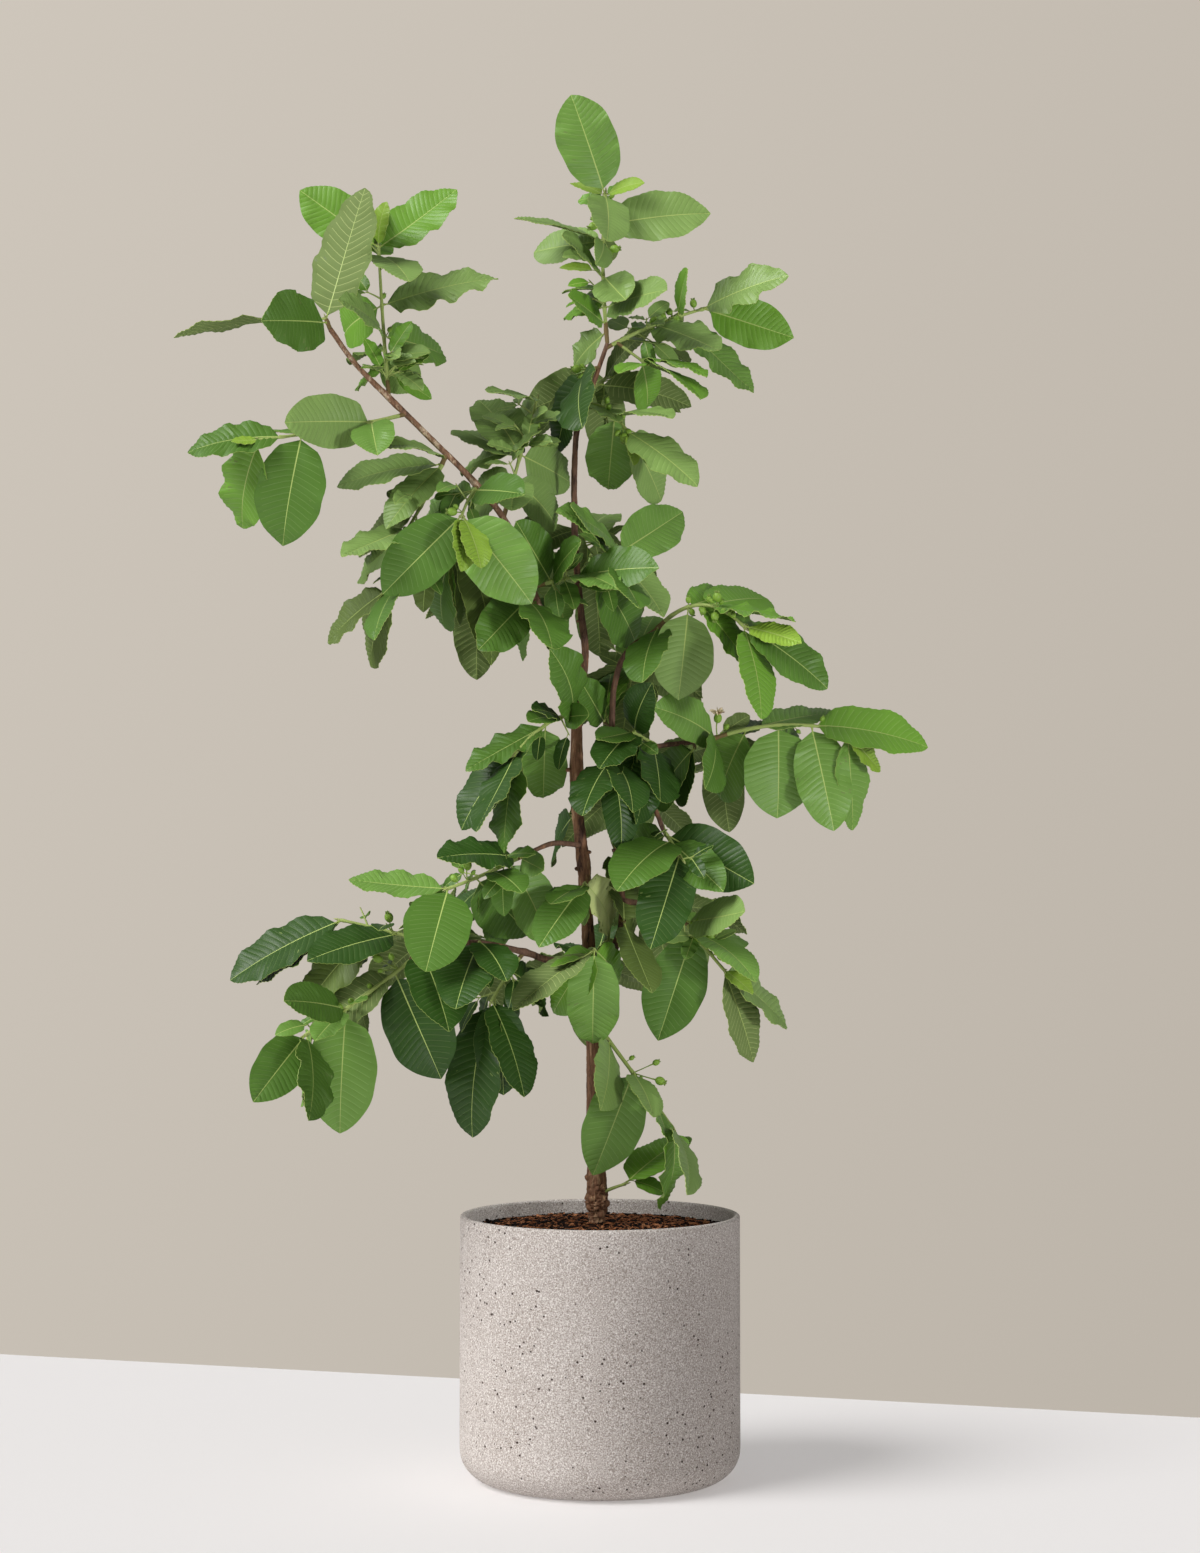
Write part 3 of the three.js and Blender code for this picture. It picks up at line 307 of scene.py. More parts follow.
def twig_curve(root, reach, bow, dice):
    """A bent line from a root across a reach, swayed aside by the dice."""
    reach = np.array(reach, float)
    length = np.linalg.norm(reach)
    x = dice(-TWIG["sway"], TWIG["sway"]) * length
    y = dice(-TWIG["sway"], TWIG["sway"]) * length
    sway = np.array([x, y, bow + dice(-TWIG["bow"], TWIG["bow"]) * length])
    return lambda share: root + reach * share + sway * (4 * share * (1 - share))


# ---- Growth ----


def front_leaf(foot, look, young, attempt, dice):
    """A leaf placed from how it looks from the front: its hour, its reach and its breadth in that view."""
    hour, reach, breadth = look
    hour += attempt * LEAF["nudge"] * dice(-1, 1)
    grown = max(reach, min(LEAF["full"] * dice(*LEAF["lengths"]), LEAF["foreshortened"] * reach))
    length = reach * YOUNG["stretch"] if young else grown
    lean = math.acos(min(1, reach / length))
    side = 1 if dice(0, 1) < LEAF["away_share"] else -1
    angle = hour * HOUR
    level = math.cos(lean)
    course = np.array([math.sin(angle) * level, side * math.sin(lean), math.cos(angle) * level])
    width = max(breadth, length * LEAF["slender"] * dice(*LEAF["widths"]))
    face = unit(FRONT + course * course[1])
    sky = np.cross(course, face)
    if sky[2] < 0 or (abs(sky[2]) < LEAF["level"] and sky[0] * foot[0] < 0):
        sky = -sky
    tilt = math.acos(min(1, breadth / width))
    normal = face * math.cos(tilt) + sky * math.sin(tilt)
    bow = length * dice(*LEAF["bows"])
    return dict(foot=foot, course=course, normal=normal, length=length, width=width, bow=bow,
                fold=dice(*LEAF["folds"]), young=young)


def rear_leaf(stem, row, number, dice):
    """A leaf on a rear stem: one of a pair that stands across it and hangs a little, face to the light."""
    pair = number // 2
    along = PAIRS["first"] + (1 - PAIRS["first"]) * pair / (row["pairs"] - 1)
    course = unit(stem(1) - stem(0))
    aside = unit(np.cross(course, UP))
    over = np.cross(aside, course)
    angle = pair * math.pi / 2 + (number % 2) * math.pi + dice(-PAIRS["turn"], PAIRS["turn"])
    heading = spoke(aside, over, angle) + course * dice(*PAIRS["ahead"])
    heading = unit(heading - UP * dice(*PAIRS["ahead"]))
    length = row["leaf"] * dice(*PAIRS["lengths"])
    normal = facing(np.array(PAIRS["light"], float), heading, dice(-PAIRS["twist"], PAIRS["twist"]))
    width = length * LEAF["slender"] * dice(*PAIRS["widths"])
    bow = length * dice(*PAIRS["bows"])
    return dict(foot=stem(min(along, DEEPEST_FOOT)), course=heading, normal=normal, length=length,
                width=width, bow=bow, fold=dice(*LEAF["folds"]), young=False)


def start_mass(row):
    """A mass with its stem and side twigs: each a curve, its thickness and where leaves stand on it."""
    dice = dice_of(row["seed"])
    root = limb_point(row["limb"], row["share"])
    stem = twig_curve(root, row["stem"], row.get("bow", 0), dice)
    twigs = [(stem, TWIG, row.get("nodes", []))]
    for twig in row.get("twigs", []):
        curve = twig_curve(stem(twig["start"]), twig["reach"], 0, dice)
        twigs.append((curve, SIDE_TWIG, twig["nodes"]))
    return dict(row=row, name=row["name"], twigs=twigs, leaves=[], fruits=[])


def leaf_makers(mass):
    """What a mass is to bear: a maker for each leaf, called with a number and an attempt."""
    row = mass["row"]
    seed = row["seed"]
    stem = mass["twigs"][0][0]
    if "pairs" in row:
        return [lambda n, k: rear_leaf(stem, row, n, leaf_dice(seed, n, k))] * (2 * row["pairs"])
    makers = []

    def bear(foot, look, young):
        makers.append(lambda n, k: front_leaf(foot, look, young, k, leaf_dice(seed, n, k)))

    for curve, _, nodes in mass["twigs"]:
        for share, *looks in nodes:
            for look in looks:
                bear(curve(min(share, DEEPEST_FOOT)), look, False)
    for hour, reach in row.get("young", []):
        bear(stem(DEEPEST_FOOT), (hour, reach, YOUNG["slender"] * reach), True)
    return makers


def blade_corners(leaf):
    """The corners that the solid of a leaf would have: edges and keel of its middle rings, and its tip."""
    foot, course, normal = leaf["foot"], leaf["course"], leaf["normal"]
    tip = foot + course * leaf["length"]
    middle = (foot + tip) / 2 + 2 * leaf["bow"] * normal
    across = np.cross(normal, course)
    blade = max(LEAF["thinnest"], LEAF["thick"] * leaf["length"]) / 2
    corners = [tip]
    for share in LEAF["rings"]:
        rib = foot * (1 - share) ** 2 + middle * 2 * share * (1 - share) + tip * share**2
        half = leaf["width"] / 2 * (1 - abs(2 * share - 1) ** LEAF["squareness"]) ** LEAF["roundness"]
        for side in (-1, 1):
            corners.append(rib + normal * (blade + leaf["fold"] * half) + across * side * half)
        corners.append(rib - normal * blade)
    return corners


SAME_SPOT = 0.25 * MM  # how near a corner of the frame has to be to count as a leaf's own
SAME_LEAF = 4  # corners, of seven, by which a leaf is known in the frame
SAME_FRUIT = 5  # a fruit is known by more corners than this near its place


def search_tree(spots):
    """Points ready to be searched for the nearest one."""
    tree = kdtree.KDTree(len(spots))
    for i, spot in enumerate(spots):
        tree.insert(Vector(spot), i)
    tree.balance()
    return tree


def grow(row):
    """One mass with the leaves and fruits that found room in the frame."""
    mass = start_mass(row)
    tree = search_tree([corner.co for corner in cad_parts["leaves_" + row["name"]].data.vertices])
    for number, maker in enumerate(leaf_makers(mass)):
        best, found = None, SAME_LEAF - 1
        for attempt in range(LEAF["tries"]):
            leaf = maker(number, attempt)
            same = sum(tree.find(Vector(c * MM))[2] < SAME_SPOT for c in blade_corners(leaf))
            if same > found:
                best, found = leaf, same
        if best:
            best["number"] = number
            mass["leaves"].append(best)
    for share, hour, stalk in row.get("fruits", []):
        foot = mass["twigs"][0][0](share)
        course = hour_way(hour, FRUIT["towards"])
        end = foot + course * stalk
        if len(tree.find_range(Vector(end * MM), (FRUIT["length"] + 0.5) * MM)) > SAME_FRUIT:
            mass["fruits"].append((foot, course, stalk))
    return mass


# ---- Joined meshes ----


class Pile:
    """Points, faces and looks gathered for one joined piece."""

    def __init__(self):
        self.points = []
        self.faces = []
        self.looks = []
        self.count = 0

    def add(self, points, faces, look):
        """Faces are lists of places in points; look is one number or one for each face."""
        points = np.asarray(points, float)
        self.points.append(points)
        for face in (faces.tolist() if isinstance(faces, np.ndarray) else faces):
            self.faces.append([i + self.count for i in face])
        self.looks.extend([look] * len(faces) if isinstance(look, int) else list(look))
        self.count += len(points)

    def piece(self, name, materials, slot, replaces=(), crease=1.0):
        """Makes the joined mesh a piece of the tree."""
        mesh = bpy.data.meshes.new(name)
        mesh.from_pydata((np.concatenate(self.points) * MM).tolist(), [], self.faces)
        for material in materials:
            mesh.materials.append(material)
        mesh.polygons.foreach_set("material_index", self.looks)
        mesh.polygons.foreach_set("use_smooth", [True] * len(self.faces))
        mesh.set_sharp_from_angle(angle=crease)
        mesh.validate()
        mesh.update()
        obj = bpy.data.objects.new(name, mesh)
        bpy.context.scene.collection.objects.link(obj)
        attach(obj, "root")
        if replaces:
            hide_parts(*replaces)


def tube(line, radii, sides, flat=1.0):
    """A closed tube round a line of points; radii stand for a ring each, or for a ring's corner each."""
    line = np.asarray(line, float)
    radii = np.asarray(radii, float)
    if radii.ndim == 1:
        radii = np.repeat(radii[:, None], sides, axis=1)
    course = np.gradient(line, axis=0)
    course /= np.linalg.norm(course, axis=1)[:, None]
    first = np.eye(3)[np.argmin(np.abs(course[0]))]
    across = np.empty_like(line)
    before = unit(np.cross(course[0], first))
    for i, ahead in enumerate(course):
        before = unit(before - ahead * (before @ ahead))
        across[i] = before
    over = np.cross(course, across)
    angles = (np.arange(sides) * TURN / sides)[None, :, None]
    ring = np.cos(angles) * across[:, None] + flat * np.sin(angles) * over[:, None]
    points = (line[:, None] + radii[..., None] * ring).reshape(-1, 3)
    i, j = np.meshgrid(np.arange(len(line) - 1), np.arange(sides), indexing="ij")
    k = (j + 1) % sides
    quads = np.stack([i * sides + j, i * sides + k, (i + 1) * sides + k, (i + 1) * sides + j], axis=-1)
    faces = quads.reshape(-1, 4).tolist()
    faces.append(list(range(sides))[::-1])
    faces.append([(len(line) - 1) * sides + j for j in range(sides)])
    return points, faces


# ---- Leaves ----

# Places of the leaf materials in each foliage piece; then come two for each tone, blade and veins.
MIDRIB, UNDERSIDE, UNDER_VEIN, PETIOLE, FIRST_TONE = range(5)
TONE_NAMES = ("mature", "deep", "soft", "bright", "olive", "light", "young", "pale")
BLADE_MARK, VEIN_MARK, RIB_MARK = -1, -2, -3  # stand in a layout for looks that depend on the leaf
SMALL_LEAF = 60  # leaves shorter than this have a thinner rib and stalk and fewer corners
# Where a blade's columns of corners stand, as shares of its half breadth.
NEAR_COLUMNS = (0.0, 0.18, 0.48, 0.82, 1.0)
FAR_COLUMNS = (0.0, 0.3, 0.8, 1.0)  # on the rear masses
SMALL_COLUMNS = (0.0, 0.75, 1.0)  # on small leaves
VEIN_PAIRS = ((6, 30), (9, SMALL_LEAF), (14, 80), (16, 110), (17, math.inf))  # and up to which length
VEIN_HALF = 0.0029  # half a side vein's breadth as a share of the blade's length
VEIN_ENDS = (0.03, 0.97)  # where along the midrib the side veins begin and end
SLANT, SLANT_BEND = 0.14, 1.2  # how far a side vein runs forward on its way to the margin
THICKNESS = 0.45
PHASES = 6  # where waves start: two for the outline, one for each half, one for the ripples and one to spare
ROWS_A_VEIN = 3  # the two edges of a side vein, and the top of the bulge that follows
FULLNESS = 1.08  # breadth of a blade's own outline beside its solid's, whose corners it passes outside

# A blade's shape, in millimetres and shares of its length or half breadth. Pairs in brackets are for the
# dice, or for the foot and the tip.
BLADE = dict(
    stalk=(4, 9), stalk_most=0.12,  # the petiole's length
    skew=(0.84, 1.0), squareness=(2.0, 2.3), bluntness=0.55, point=(0.1, 0.4), point_bend=1.5,  # the outline
    wobbles=((0.02, 1.4), (0.014, 3.3)),  # swells of the outline: height and how many
    rib=(0.75, 0.22), small_rib=0.6, least=1.4,  # the midrib's half breadth, and the blade's least beside it
    sink=0.45,  # how much of its rise a half loses towards the margin
    quilt_young=1.3, quilt_length=90, quilt_start=0.16,  # the bulges between the side veins
    wave_young=0.5, waves=(2.2, 3.8), wave_taper=0.6,  # the margin's waves
    ripple=0.25, ripples=6.5, ripple_reach=2.5,  # smaller ripples on them
    droop=(0.0, 0.07), twist=(-0.3, 0.3), twist_from=0.25,
    ridge=(1.1, 0.2), vein_ridge=0.22,  # how far midrib and side veins stand out below
    stalk_radii=(1.15, 0.85, 0.85, 0.6), stalk_dips=(0, 0, -0.4, -0.7), stalk_middle=0.4, stalk_end=0.05,
    small_stalk=0.55, stalk_sides=6,
)


def leaf_layout(veins, half_columns):
    """Rows and columns of a blade with that many pairs of side veins, and its faces with their looks."""
    low, high = VEIN_ENDS
    step = (high - low) / veins
    rows = [0.0]
    for k in range(veins):
        centre = low + step * (k + 0.5)
        rows += [centre - VEIN_HALF, centre + VEIN_HALF, centre + step / 2]
    rows[-1] = 1.0
    humps = [float(0 < r < len(rows) - 1 and r % ROWS_A_VEIN == 0) for r in range(len(rows))]
    columns = [-u for u in half_columns[::-1]] + list(half_columns)
    wide, tall = len(columns), len(rows)
    under = wide * tall
    faces, looks = [], []
    for r in range(tall - 1):
        for c in range(wide - 1):
            a = r * wide + c
            square = [a, a + wide, a + wide + 1, a + 1]
            vein = r % ROWS_A_VEIN == 1 and 0 < c < wide - 2
            faces.append(square)
            faces.append([under + i for i in square[::-1]])
            if c == wide // 2 - 1:
                looks += [RIB_MARK, MIDRIB]
            else:
                looks += [VEIN_MARK, UNDER_VEIN] if vein else [BLADE_MARK, UNDERSIDE]
        for c, flip in ((0, False), (wide - 1, True)):
            a, b = r * wide + c, (r + 1) * wide + c
            edge = [a, under + a, under + b, b]
            faces.append(edge[::-1] if flip else edge)
            looks.append(PETIOLE)
    for c in range(wide - 1):
        a, b = c, (tall - 1) * wide + c
        faces.append([a, a + 1, under + a + 1, under + a])
        faces.append([b, under + b, under + b + 1, b + 1])
        looks += [BLADE_MARK, BLADE_MARK]
    sides = np.array([-1] * len(half_columns) + [1] * len(half_columns))
    return dict(rows=np.array(rows), humps=np.array(humps), columns=np.array(columns), sides=sides,
                faces=np.array(faces), looks=np.array(looks))


_layouts = {}


def layout_of(length, far):
    """The layout of a blade of that length, on a rear mass or not."""
    columns = SMALL_COLUMNS if length < SMALL_LEAF else (FAR_COLUMNS if far else NEAR_COLUMNS)
    key = next(veins for veins, longest in VEIN_PAIRS if length < longest), columns
    if key not in _layouts:
        _layouts[key] = leaf_layout(*key)
    return _layouts[key]


def place_blade(leaf, foot_share, b, x, lift, turn):
    """Points at shares b of a blade's length, x aside of its rib and lifted off it, and their upward way."""
    foot, course, normal = leaf["foot"], leaf["course"], leaf["normal"]
    tip = foot + course * leaf["length"]
    middle = (foot + tip) / 2 + 2 * leaf["bow"] * normal
    s = (foot_share + (1 - foot_share) * b)[..., None]
    rib = foot * (1 - s) ** 2 + middle * 2 * s * (1 - s) + tip * s**2
    ahead = (middle - foot) * (1 - s) + (tip - middle) * s
    ahead /= np.linalg.norm(ahead, axis=-1, keepdims=True)
    up = normal - ahead * (ahead @ normal)[..., None]
    up /= np.linalg.norm(up, axis=-1, keepdims=True)
    aside = np.cross(up, ahead)
    c, d = np.cos(turn)[..., None], np.sin(turn)[..., None]
    out, up = aside * c + up * d, up * c - aside * d
    return rib + x[..., None] * out + lift[..., None] * up, up


def blade_outline(margin, side, width, rib, dice):
    """A blade's half breadth along its margin, an uneven oval with a short point, and its waves' phases."""
    skew = dice(*BLADE["skew"])
    bulk = np.clip(1 - np.abs(2 * margin**skew - 1) ** dice(*BLADE["squareness"]), 0, 1)
    point = dice(*BLADE["point"]) * np.clip(2 * margin - 1, 0, 1) ** BLADE["point_bend"]
    outline = bulk ** (BLADE["bluntness"] + point)
    phase = [dice(0, TURN) for _ in range(PHASES)]
    wobble = 1
    for k, (height, waves) in enumerate(BLADE["wobbles"]):
        wobble = wobble + height * np.sin(TURN * waves * margin + phase[k] + (k + 1) * side)
    return np.maximum(outline * wobble * width * FULLNESS / 2, rib * BLADE["least"]), phase


def blade_lift(leaf, sizes, plan, b, u, x, side, phase, dice):
    """How far a blade stands off its midrib's line: fold, bulges, waves, ripples and droop."""
    length, young = leaf["length"], leaf["young"]
    sink = 1 - BLADE["sink"] * u
    lift = leaf["fold"] * np.abs(x) * sink
    hump = sizes.quilting / MM * (BLADE["quilt_young"] if young else 1)
    hump = hump * min(1, length / BLADE["quilt_length"])
    lift = lift + hump * plan["humps"][:, None] * np.clip(u / BLADE["quilt_start"], 0, 1) * sink
    ruffle = dice(0, 1)
    wave = length * (sizes.wave_least + (sizes.wave_most - sizes.wave_least) * ruffle**2)
    wave = wave * (BLADE["wave_young"] if young else 1)
    waves = np.where(side > 0, dice(*BLADE["waves"]), dice(*BLADE["waves"]))
    swell = np.sin(TURN * waves * b + np.where(side > 0, phase[2], phase[3]))
    lift = lift + wave * u**2 * swell * np.sin(math.pi * np.clip(b, 0, 1)) ** BLADE["wave_taper"]
    ripple = np.sin(TURN * BLADE["ripples"] * b + phase[4])
    lift = lift + wave * BLADE["ripple"] * u ** BLADE["ripple_reach"] * ripple
    return lift - length * dice(*BLADE["droop"]) * b**3


def leaf_looks(marks, tone, flipped):
    """The material of each face of a leaf, top and underside changed about on a flipped one."""
    blade = FIRST_TONE + 2 * tone
    names = [BLADE_MARK, VEIN_MARK, RIB_MARK, UNDERSIDE, UNDER_VEIN]
    looks = [blade, blade + 1, MIDRIB, UNDERSIDE, UNDER_VEIN]
    if flipped:
        looks = [UNDERSIDE, UNDER_VEIN, MIDRIB, blade, blade + 1]
    return np.select([marks == name for name in names], looks, marks)


def add_leaf(pile, leaf, tone, dice, sizes, far, flipped=False):
    """A whole leaf: petiole, midrib, side veins and a blade that bulges between them."""
    length = leaf["length"]
    small = length < SMALL_LEAF
    slim = BLADE["small_rib"] if small else 1
    plan = layout_of(length, far)
    rows, u, side = plan["rows"][:, None], np.abs(plan["columns"])[None, :], plan["sides"][None, :]
    foot_share = min(dice(*BLADE["stalk"]), length * BLADE["stalk_most"]) / length
    b = rows + SLANT * 4 * rows * (1 - rows) * u**SLANT_BEND
    rib = np.interp(rows, [0, 1], BLADE["rib"]) * slim
    half, phase = blade_outline(b[:, -1:], side, leaf["width"], rib, dice)
    x = side * (rib + (half - rib) * u)
    lift = blade_lift(leaf, sizes, plan, b, u, x, side, phase, dice)
    turn = dice(*BLADE["twist"]) * (b - BLADE["twist_from"])
    top, up = place_blade(leaf, foot_share, b, x, lift, turn)
    ridge = np.where(u == 0, np.interp(rows, [0, 1], BLADE["ridge"]), 0.0) * slim
    vein_row = (1 - plan["humps"])[:, None] * np.where((rows > 0) & (rows < 1), 1, 0)
    thick = THICKNESS + ridge + BLADE["vein_ridge"] * vein_row * (1 - u)
    bottom = top - up * thick[..., None]
    points = np.concatenate([top.reshape(-1, 3), bottom.reshape(-1, 3)])
    pile.add(points, plan["faces"], leaf_looks(plan["looks"], tone, flipped))
    # the petiole runs from inside the twig to under the blade's first veins
    foot, middle = -foot_share / (1 - foot_share), -BLADE["stalk_middle"] * foot_share
    along = np.array([foot, middle, 0.0, BLADE["stalk_end"]])
    zero = np.zeros(len(along))
    stalk, _ = place_blade(leaf, foot_share, along, zero, np.array(BLADE["stalk_dips"]), zero)
    thick = np.array(BLADE["stalk_radii"]) * (BLADE["small_stalk"] if small else 1)
    pile.add(*tube(stalk, thick, BLADE["stalk_sides"]), PETIOLE)


# ---- Twigs, buds and fruits ----

GREEN_TWIG, BROWN_TWIG, BUD = range(3)
FRUIT_SKIN, SEPAL, STALK, DRY_PETAL, DRY_STAMEN = range(5)
TWIG_FLAT = 0.92  # a twig's thickness one way beside the other
TWIG_SIDES, TWIG_STEP, LEAST_STEPS, TWIG_ROUGHNESS = 8, 4, 6, 0.04
GREEN_SLIM = 0.97  # a twig's green part beside its brown foot
NODE_SWELL, NODE_REACH, LAST_NODE = 0.22, 2.6, 0.97  # rings where leaves stand
ALL_BROWN = 30  # twigs shorter than this are brown up to their tip
BROWN_FOOT = (0.04, 0.16)  # how far longer ones are brown
SHOOT_TWIG = dict(foot=1.1, tip=0.7, sides=6)
BUD_SHAPE = ((0, 0.6), (0.2, 0.95), (0.45, 1), (0.7, 0.7), (0.9, 0.32), (1, 0.08))  # share, half breadth
BUD_SIDES, BUD_FLAT = 6, 0.8
SIDE_BUD = dict(lengths=(3, 4.5), breadths=(1.8, 2.4), up=0.5, off=0.8)  # beside a leaf
END_BUD = dict(lengths=(6, 9), breadth=2.6, behind=0.85)  # where behind it the stem's course is taken
SHOOT_BUD = dict(lengths=(3, 5), breadth=1.5, behind=0.7, sunk=0.5)
STALK_SHAPE = (1.1, 0.8, 0.72, 0.7, 0.75, 1.0, 1.5)  # a fruit stalk's radii
STALK_SIDES, STALK_BEND, STALK_LEAST = 7, 0.06, 0.4
FRUIT_SIDES, FRUIT_TURNS, RIBS, RIB_HEIGHT = 20, (0.12, math.pi - 0.25, 13), 5, 0.035
CROWN_PLACE = 0.86  # where on a fruit's length its crown sits
PETAL_SHAPE = ((0, 1.2), (0.4, 1.15), (0.75, 0.75), (1, 0.15))
PETALS, PETAL_SIDES, PETAL_REACH, PETAL_TURN, PETAL_FLAT = 5, 6, 3.0, 0.2, 0.3
PETAL_SPREAD, PETAL_RISE, PETAL_BEND = (0.5, 1.0), 1.1, 0.6
WITHERED = dict(reach=3.0, thick=2.0)  # how much larger the withered blossom's petals are
STAMEN = dict(count=16, steps=6, sides=4, reach=(4, 9), curl=(-0.9, 0.9), ahead=(0.4, 1), fall=0.6,
              out=0.7, ring=0.5, radius=0.4)


def node_shares(row, nodes):
    """Where leaves stand on a twig."""
    if "pairs" in row:
        return [PAIRS["first"] + (1 - PAIRS["first"]) * k / (row["pairs"] - 1) for k in range(row["pairs"])]
    return sorted({node[0] for node in nodes})


def add_twig(pile, curve, foot, tip, nodes, brown, dice, sides=TWIG_SIDES):
    """A twig with a ringed swelling at each node, brown up to a share of its length and green beyond."""
    length = np.linalg.norm(curve(1) - curve(0))
    steps = max(LEAST_STEPS, int(length / TWIG_STEP))
    shares = np.linspace(0, 1, steps)
    line = np.array([curve(s) for s in shares])
    radii = foot + (tip - foot) * shares
    for node in nodes:
        apart = (shares - min(node, LAST_NODE)) * length
        radii = radii + NODE_SWELL * foot * np.exp(-((apart / NODE_REACH) ** 2))
    radii = radii * (1 + TWIG_ROUGHNESS * np.array([dice(-1, 1) for _ in shares]))
    cut = int(round(brown * (steps - 1)))
    if 1 <= cut < steps - 1:
        pile.add(*tube(line[: cut + 1], radii[: cut + 1], sides, TWIG_FLAT), BROWN_TWIG)
        line, radii = line[cut:], radii[cut:] * GREEN_SLIM
    pile.add(*tube(line, radii, sides, TWIG_FLAT), BROWN_TWIG if brown >= 1 else GREEN_TWIG)


def add_bud(pile, foot, course, length, breadth):
    """A pointed bud of a few scales."""
    shares, halves = np.array(BUD_SHAPE, float).T
    line = foot + np.outer(shares, course) * length
    pile.add(*tube(line, breadth / 2 * halves, BUD_SIDES, BUD_FLAT), BUD)


def add_fruit(pile, foot, course, stalk, size, dice, withered=False):
    """A young fruit: stalk, body with faint ribs, and the dry crown that its flower left."""
    radius, length = FRUIT["radius"] * size, FRUIT["length"] * size
    end = foot + course * stalk
    bend = unit(np.cross(course, UP) + 0.01) * stalk * STALK_BEND
    line = np.array([foot + course * stalk * s + bend * math.sin(math.pi * s)
                     for s in np.linspace(0, 1, len(STALK_SHAPE))])
    thick = min(1, STALK_LEAST + (1 - STALK_LEAST) * size)
    pile.add(*tube(line, np.array(STALK_SHAPE) * thick, STALK_SIDES), STALK)
    turns = np.linspace(*FRUIT_TURNS)
    body = end + np.outer(-np.cos(turns) * length, course)
    ribs = 1 + RIB_HEIGHT * np.cos(RIBS * np.arange(FRUIT_SIDES) * TURN / FRUIT_SIDES + dice(0, 6))
    pile.add(*tube(body, (np.sin(turns) * radius)[:, None] * ribs[None, :], FRUIT_SIDES), FRUIT_SKIN)
    crown = end + course * length * CROWN_PLACE
    aside = aside_of(course)
    over = np.cross(course, aside)
    reach, thick = PETAL_REACH * size, size
    if withered:
        reach, thick = reach * WITHERED["reach"], thick * WITHERED["thick"]
    shares, halves = np.array(PETAL_SHAPE, float).T
    for k in range(PETALS):
        out = spoke(aside, over, TURN * k / PETALS + dice(-PETAL_TURN, PETAL_TURN))
        spread = dice(*PETAL_SPREAD)
        away = shares * reach * spread + PETAL_RISE * size
        ahead = shares * reach * (PETAL_RISE - PETAL_BEND * spread * shares)
        line = crown + np.outer(away, out) + np.outer(ahead, course)
        look = DRY_PETAL if withered else SEPAL
        pile.add(*tube(line, halves * thick, PETAL_SIDES, PETAL_FLAT), look)
    if withered:
        add_stamens(pile, crown, course, aside, over, dice)


def add_stamens(pile, crown, course, aside, over, dice):
    """Shrivelled stamens that curl out of a withered blossom."""
    shares = np.linspace(0, 1, STAMEN["steps"])
    for k in range(STAMEN["count"]):
        out = spoke(aside, over, dice(0, TURN))
        reach, curl = dice(*STAMEN["reach"]), dice(*STAMEN["curl"])
        ahead = reach * (shares - STAMEN["fall"] * shares**2) * dice(*STAMEN["ahead"])
        away = reach * shares * STAMEN["out"] + STAMEN["ring"]
        line = crown + np.outer(away, out) + np.outer(ahead, course)
        line = line + np.outer(reach * curl * shares**2, np.cross(out, course))
        radii = np.full(STAMEN["steps"], STAMEN["radius"])
        pile.add(*tube(line, radii, STAMEN["sides"]), DRY_STAMEN if k % 2 else DRY_PETAL)


# ---- Bark ----


def limb_radius(limb, share):
    """A limb's radius at a share of its length."""
    size = limb["foot"] + (limb["tip"] - limb["foot"]) * share
    for place, height, reach in limb["swellings"]:
        size = size + height * np.exp(-(((share - place) / reach) ** 2))
    return size


RING_STEP = 1.6  # from one ring of a limb's skin to the next
TRUNK_SIDES, BOUGH_SIDES, BOUGH_DEPTH = 36, 20, 0.55
FLARE_WAIST = dict(depth=1.6, reach=24)  # the flare narrows between the knot and the potting mix
COLLAR = dict(height=1.4, reach=7)  # where a bough leaves its parent
WORN_END = dict(start=0.99, reach=0.0105, least=0.02)  # the trunk's round end inside the fork
KNOT = dict(height=55, reach=50)  # above its foot the trunk's bark is the roughest
# The bark's plates, the cracks between them and its fine grain: how they repeat across and along, and how
# high or deep they are.
PLATES, CRACKS, FINE = (1.5, 24, 1.1), (3.2, 11, 0.6), (6, 3, 0.35)
PLATE_LAYERS = (0.9, 2.1, 3)  # the noise's roughness, step and count of layers
APART = 7.3  # moves each limb's bark on, so that no two are alike
CRACK_WIDTH, ROUGH_CRACKS, ROUGH_PLATES = 2.6, 2, 2.0  # the last two for the knot's rougher bark


def bark_relief(name, length, steps, sides, depth):
    """The height of a limb's bark at each corner of each ring: plates, cracks between them and fine grain."""
    seed = len(name) * APART
    relief = np.empty((steps, sides))

    def spot(kind):
        return Vector((x * kind[0], y * kind[0], away / kind[1] + seed))

    for i in range(steps):
        away = i / steps * length
        rough = math.exp(-(((away - KNOT["height"]) / KNOT["reach"]) ** 2)) if name == "trunk" else 0
        for j in range(sides):
            angle = TURN * j / sides
            x, y = math.cos(angle), math.sin(angle)
            height = noise.fractal(spot(PLATES), *PLATE_LAYERS) * PLATES[2]
            cracks = max(0, 1 - abs(noise.noise(spot(CRACKS))) * CRACK_WIDTH) ** 4
            height = height - cracks * (CRACKS[2] + ROUGH_CRACKS * rough)
            height = height + noise.noise(spot(FINE)) * FINE[2]
            relief[i, j] = depth * height * (1 + ROUGH_PLATES * rough)
    return relief


